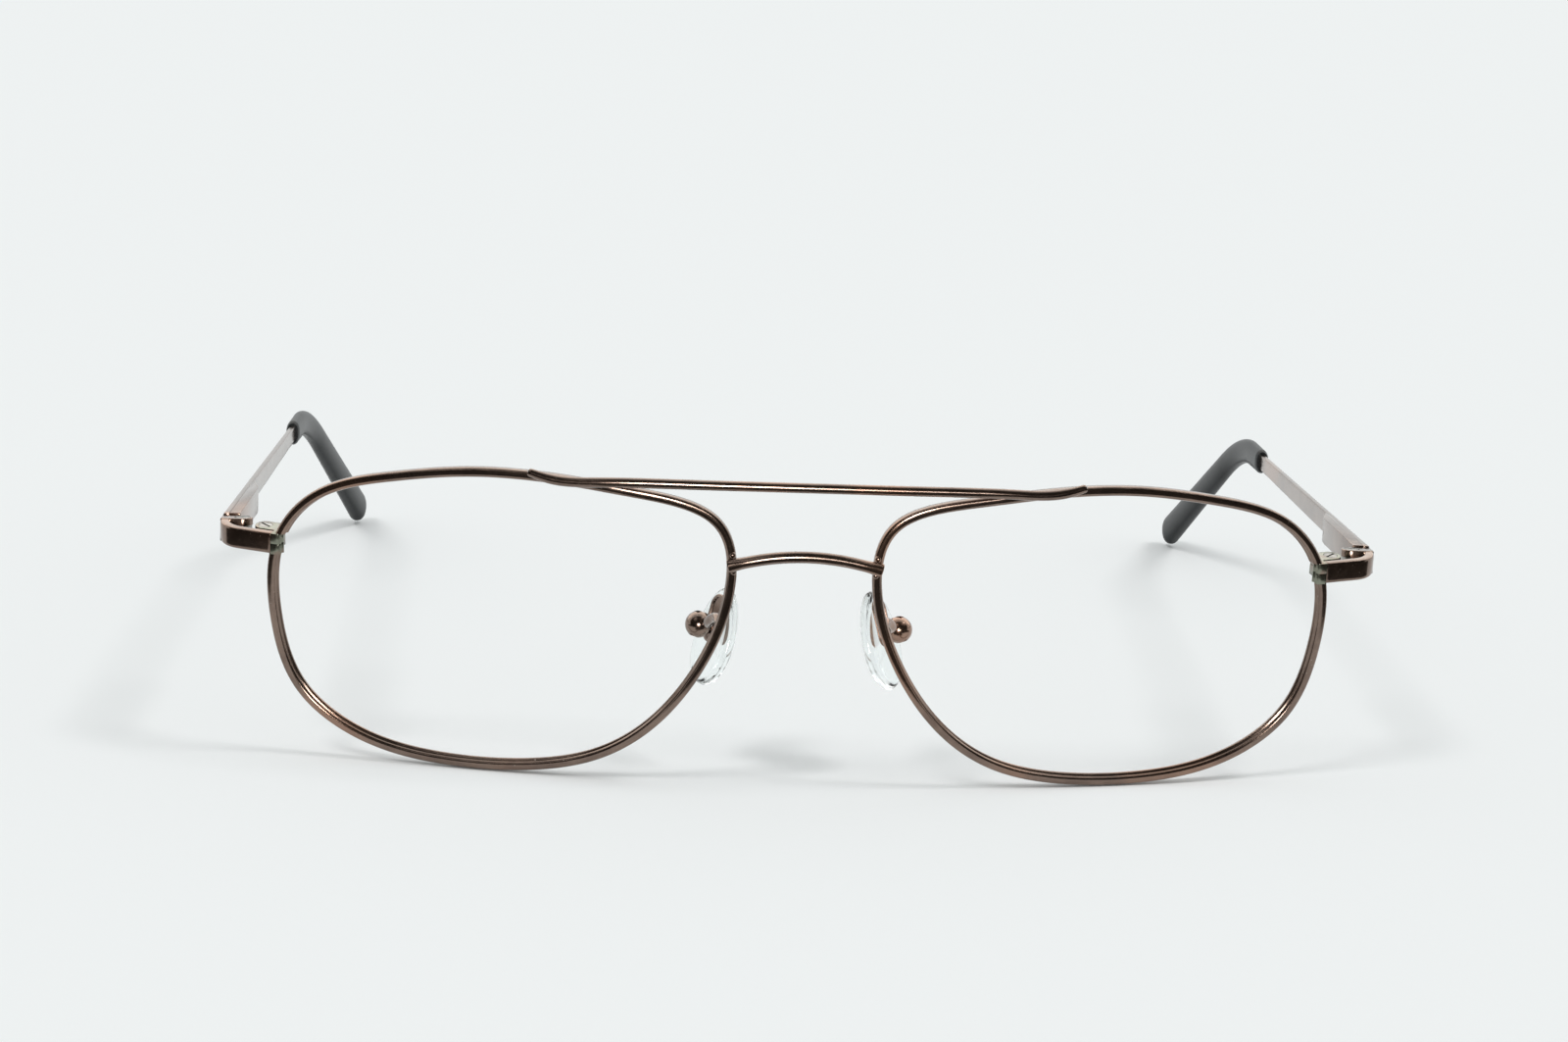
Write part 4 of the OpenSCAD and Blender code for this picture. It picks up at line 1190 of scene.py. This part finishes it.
def card(name, corners, material):
    """A flat sheet of the studio from its corners in metres."""
    bm = bmesh.new()
    bm.faces.new([bm.verts.new(corner) for corner in corners])
    mesh = mesh_from(name, bm)
    mesh.materials.append(material)
    sheet = linked(name, mesh)
    return sheet


def straight(x0, x1, low, high):
    """Corners of a four-sided card; low and high are the Y and Z of its two long edges."""
    return [(x0, *low), (x1, *low), (x1, *high), (x0, *high)]


def dark_sheet():
    """Corners of the sheet on the floor: its near edge steps round the frame's front."""
    edge = ((1.30, -0.020), (0.125, -0.045), (0.095, -0.078), (0.080, -0.112), (0.034, -0.112),
            (0.026, -0.082))
    ring = [(-x, y) for x, y in edge] + list(reversed(edge)) + [(1.30, -0.45), (-1.30, -0.45)]
    return [(x, y, 0.001) for x, y in ring]


def plain(name, tint, glow=0.0):
    finish = Finish(name)
    return finish.surface(Base_Color=tint, Roughness=0.9, Specular_IOR_Level=0.0,
                          Emission_Color=tint, Emission_Strength=glow)


def reflected_card(name, corners, material):
    """A card that only shows in reflections and lights nothing else."""
    sheet = card(name, corners, material)
    for ray in ("camera", "diffuse", "transmission", "shadow"):
        setattr(sheet, "visible_" + ray, False)


def sun(name, place, strength, spread):
    """A soft sun that shines from a place towards the middle of the floor."""
    lamp = bpy.data.lights.new(name, "SUN")
    lamp.energy, lamp.angle = strength, math.radians(spread)
    linked(name, lamp).matrix_world = (
        Matrix.Translation(place)
        @ (-Vector(place)).to_track_quat("-Z", "Y").to_matrix().to_4x4())


def surround_light(world, tint, fill):
    """The backdrop at its full colour where it is seen, and a weaker light on all else."""
    sky = Finish("surround", world)
    seen = sky.node("ShaderNodeLightPath", output="Is Camera Ray")
    for ray in ("Is Glossy Ray", "Is Transmission Ray"):
        seen = seen.math("MAXIMUM", seen, sky.node("ShaderNodeLightPath", output=ray))
    light = sky.node("ShaderNodeBackground", None,
                     {"Color": tint, "Strength": seen * (1 - fill) + fill})
    sky.node("ShaderNodeOutputWorld", None, {"Surface": light})


def photo_camera(design, lens):
    """A camera at the photograph's angle, given as worn and then stood with the frame."""
    turn = Matrix.Identity(3)
    for axis, degrees in CAMERA_TURNS:
        turn = turn @ Matrix.Rotation(math.radians(degrees), 3, axis)
    right, ahead, up = (Vector(row) for row in turn)
    stood = design.stand.to_3x3().normalized()
    data = bpy.data.cameras.new("camera")
    data.sensor_fit, data.sensor_width, data.lens = "HORIZONTAL", 36.0, lens
    data.clip_start, data.clip_end = 0.01, 60.0
    camera = linked("camera", data)
    camera.matrix_world = axes(design.stand @ Vector(CAMERA_PLACE),
                               stood @ right, stood @ up, stood @ -ahead)
    bpy.context.scene.camera = camera


# Operators

class PieceOperator:
    """What every piece's operator shares

    middle gives the pieces that stand alone, pieces those of one side, each with its name, mesh,
    body, material slot (which is not used), finish and node.
    """

    bl_options = {"REGISTER"}

    def execute(self, context):
        design, finish = Design(context.scene), finishes(context.scene)
        for piece in self.middle(design):
            add_piece(design, finish, MIDDLE, *piece)
        for side in SIDES:
            for piece in self.pieces(design):
                add_piece(design, finish, side, *piece)
        return {"FINISHED"}

    def middle(self, design):
        return ()


class EYEGLASS_OT_rims(PieceOperator, bpy.types.Operator):
    """Draw the grooved wire of both rims"""

    bl_idname = "eyeglass.rims"
    bl_label = "Rims"

    def pieces(self, design):
        yield "rim_wire", rim_wire(design), "front", "frame", "plated wire", "rim", 50


class EYEGLASS_OT_bridges(PieceOperator, bpy.types.Operator):
    """Draw the top bar, the bridge and their solder"""

    bl_idname = "eyeglass.bridges"
    bl_label = "Top bar and bridge"

    def middle(self, design):
        yield "top_bar_wire", bar_wire(design), "front", "frame", "plated wire", "top_bar"
        yield "bridge_wire", bridge_wire(design), "front", "frame", "plated wire", "bridge"

    def pieces(self, design):
        yield "bridge_solder", bridge_solder(design), "front", "frame", "plated strip", None


class EYEGLASS_OT_closing_blocks(PieceOperator, bpy.types.Operator):
    """Cut the closing blocks and turn their screws"""

    bl_idname = "eyeglass.closing_blocks"
    bl_label = "Closing blocks"

    def pieces(self, design):
        for name in ("upper", "lower"):
            yield ("block_" + name, closing_half(design, name == "upper"), "front", "frame",
                   "block metal", "closing_block_" + name)
        yield "block_screw", rim_screw(design), "front", "steel", "turned steel", "rim_screw"


class EYEGLASS_OT_end_pieces(PieceOperator, bpy.types.Operator):
    """Bend the end pieces and cut their forks"""

    bl_idname = "eyeglass.end_pieces"
    bl_label = "End pieces"

    def pieces(self, design):
        yield "end_strip", end_piece(design), "front", "frame", "plated strip", "end_piece"


class EYEGLASS_OT_hinges(PieceOperator, bpy.types.Operator):
    """Turn the hinge screws and make sliders, springs and bushes"""

    bl_idname = "eyeglass.hinges"
    bl_label = "Spring hinges"

    def pieces(self, design):
        metal = "steel", "turned steel"
        yield "fork_screw", hinge_screw(design), "hinge_pin", *metal, "hinge_screw"
        yield "slider_rod", slider(design), "slider", *metal, "hinge_slider"
        yield "coil_spring", coil(design), "temple_arm", *metal, "flex_spring"
        yield "rod_bush", bush(design), "temple_arm", *metal, "spring_bush"


class EYEGLASS_OT_temples(PieceOperator, bpy.types.Operator):
    """Shape the spring boxes and the flat temples"""

    bl_idname = "eyeglass.temples"
    bl_label = "Temples"

    def pieces(self, design):
        metal = "frame", "plated strip"
        yield "spring_box", spring_box(design), "temple_arm", *metal, "hinge_box"
        bar = merged([temple_bar(design), core_wire(design)])
        yield "temple_bar", bar, "temple_arm", *metal, "temple"


class EYEGLASS_OT_tips(PieceOperator, bpy.types.Operator):
    """Mould the plastic tips"""

    bl_idname = "eyeglass.tips"
    bl_label = "Tips"

    def pieces(self, design):
        yield "ear_tip", tip(design), "temple_arm", "tip", "tip plastic", "temple_tip", 60


class EYEGLASS_OT_nose_pads(PieceOperator, bpy.types.Operator):
    """Make the pad arms, holders, screws and clear pads"""

    bl_idname = "eyeglass.nose_pads"
    bl_label = "Nose pads"

    def pieces(self, design):
        yield "ball_arm", pad_arm(design), "front", "frame", "plated strip", "pad_arm"
        yield "ball_screw", pad_screw(design), "front", "steel", "turned steel", "pad_screw"
        yield "oval_holder", pad_holder(design), "pad", "frame", "plated strip", "pad_holder"
        yield "clear_pad", nose_pad(design), "pad", "pad", "clear pad", "nose_pad", 70


class EYEGLASS_OT_stage(bpy.types.Operator):
    """Lay the pale floor, hang the lights and set the camera"""

    bl_idname = "eyeglass.stage"
    bl_label = "Stage"
    bl_options = {"REGISTER"}

    def execute(self, context):
        design = Design(context.scene)
        studio = context.scene.eyeglass_studio
        far, floor = 8.0, -0.0002
        card("floor", straight(-far, far, (-far, floor), (far, floor)),
             plain("pale floor", tuple(studio.floor)))
        # Dark cards before the frame darken the wires' fronts, a window by the camera draws their
        # highlights, and a bright card behind lights their upper edges
        black = plain("black card", tuple(studio.dark_card))
        reflected_card("dark sheet", dark_sheet(), black)
        reflected_card("dark screen", straight(-1.30, 1.30, (-0.45, 0.001), (-0.10, 0.75)), black)
        reflected_card("window", straight(-0.048, 0.012, (-0.352, 0.030), (-0.345, 0.116)),
                       plain("window", (1.0, 0.98, 0.96), studio.window))
        reflected_card("dim window", straight(0.014, 0.080, (-0.352, 0.055), (-0.345, 0.085)),
                       plain("dim window", (1.0, 0.97, 0.94), studio.window / 2.5))
        reflected_card("back card", straight(-0.60, 0.60, (0.30, 0.16), (0.12, 0.46)),
                       plain("white card", (1.0, 0.97, 0.93), studio.back_card))
        for name, place in (("left sun", (-0.40, -0.42, 0.80)), ("right sun", (0.50, -0.15, 0.80))):
            sun(name, place, studio.daylight, spread=16.0)
        world = context.scene.world or bpy.data.worlds.new("studio")
        context.scene.world = world
        surround_light(world, tuple(studio.surround), studio.fill)
        photo_camera(design, studio.lens)
        context.scene.view_settings.view_transform = "Standard"
        return {"FINISHED"}


class EYEGLASS_PT_panel(bpy.types.Panel):
    """The eyeglass frame's pieces and sizes"""

    bl_label = "Eyeglass frame"
    bl_idname = "EYEGLASS_PT_panel"
    bl_space_type = "VIEW_3D"
    bl_region_type = "UI"
    bl_category = "Eyeglasses"

    def draw(self, context):
        for operator in OPERATORS:
            self.layout.operator(operator.bl_idname)
        for name, group in GROUPS.items():
            box = self.layout.box()
            box.label(text=group.__doc__)
            for prop in group.__annotations__:
                box.prop(getattr(context.scene, name), prop)


GROUPS = {
    "eyeglass_front": FrontSizes,
    "eyeglass_hinge": HingeSizes,
    "eyeglass_temple": TempleSizes,
    "eyeglass_pad": PadSizes,
    "eyeglass_finish": Finishes,
    "eyeglass_studio": StudioSettings,
}
OPERATORS = (
    EYEGLASS_OT_rims, EYEGLASS_OT_bridges, EYEGLASS_OT_closing_blocks, EYEGLASS_OT_end_pieces,
    EYEGLASS_OT_hinges, EYEGLASS_OT_temples, EYEGLASS_OT_tips, EYEGLASS_OT_nose_pads,
    EYEGLASS_OT_stage,
)


def register():
    for cls in (*GROUPS.values(), *OPERATORS, EYEGLASS_PT_panel):
        bpy.utils.register_class(cls)
    for name, group in GROUPS.items():
        setattr(bpy.types.Scene, name, PointerProperty(type=group))


def unregister():
    for name in GROUPS:
        delattr(bpy.types.Scene, name)
    for cls in reversed((*GROUPS.values(), *OPERATORS, EYEGLASS_PT_panel)):
        bpy.utils.unregister_class(cls)


def main():
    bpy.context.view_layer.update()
    register()
    for operator in OPERATORS:
        group, name = operator.bl_idname.split(".")
        getattr(getattr(bpy.ops, group), name)()


if __name__ == "__main__":
    main()
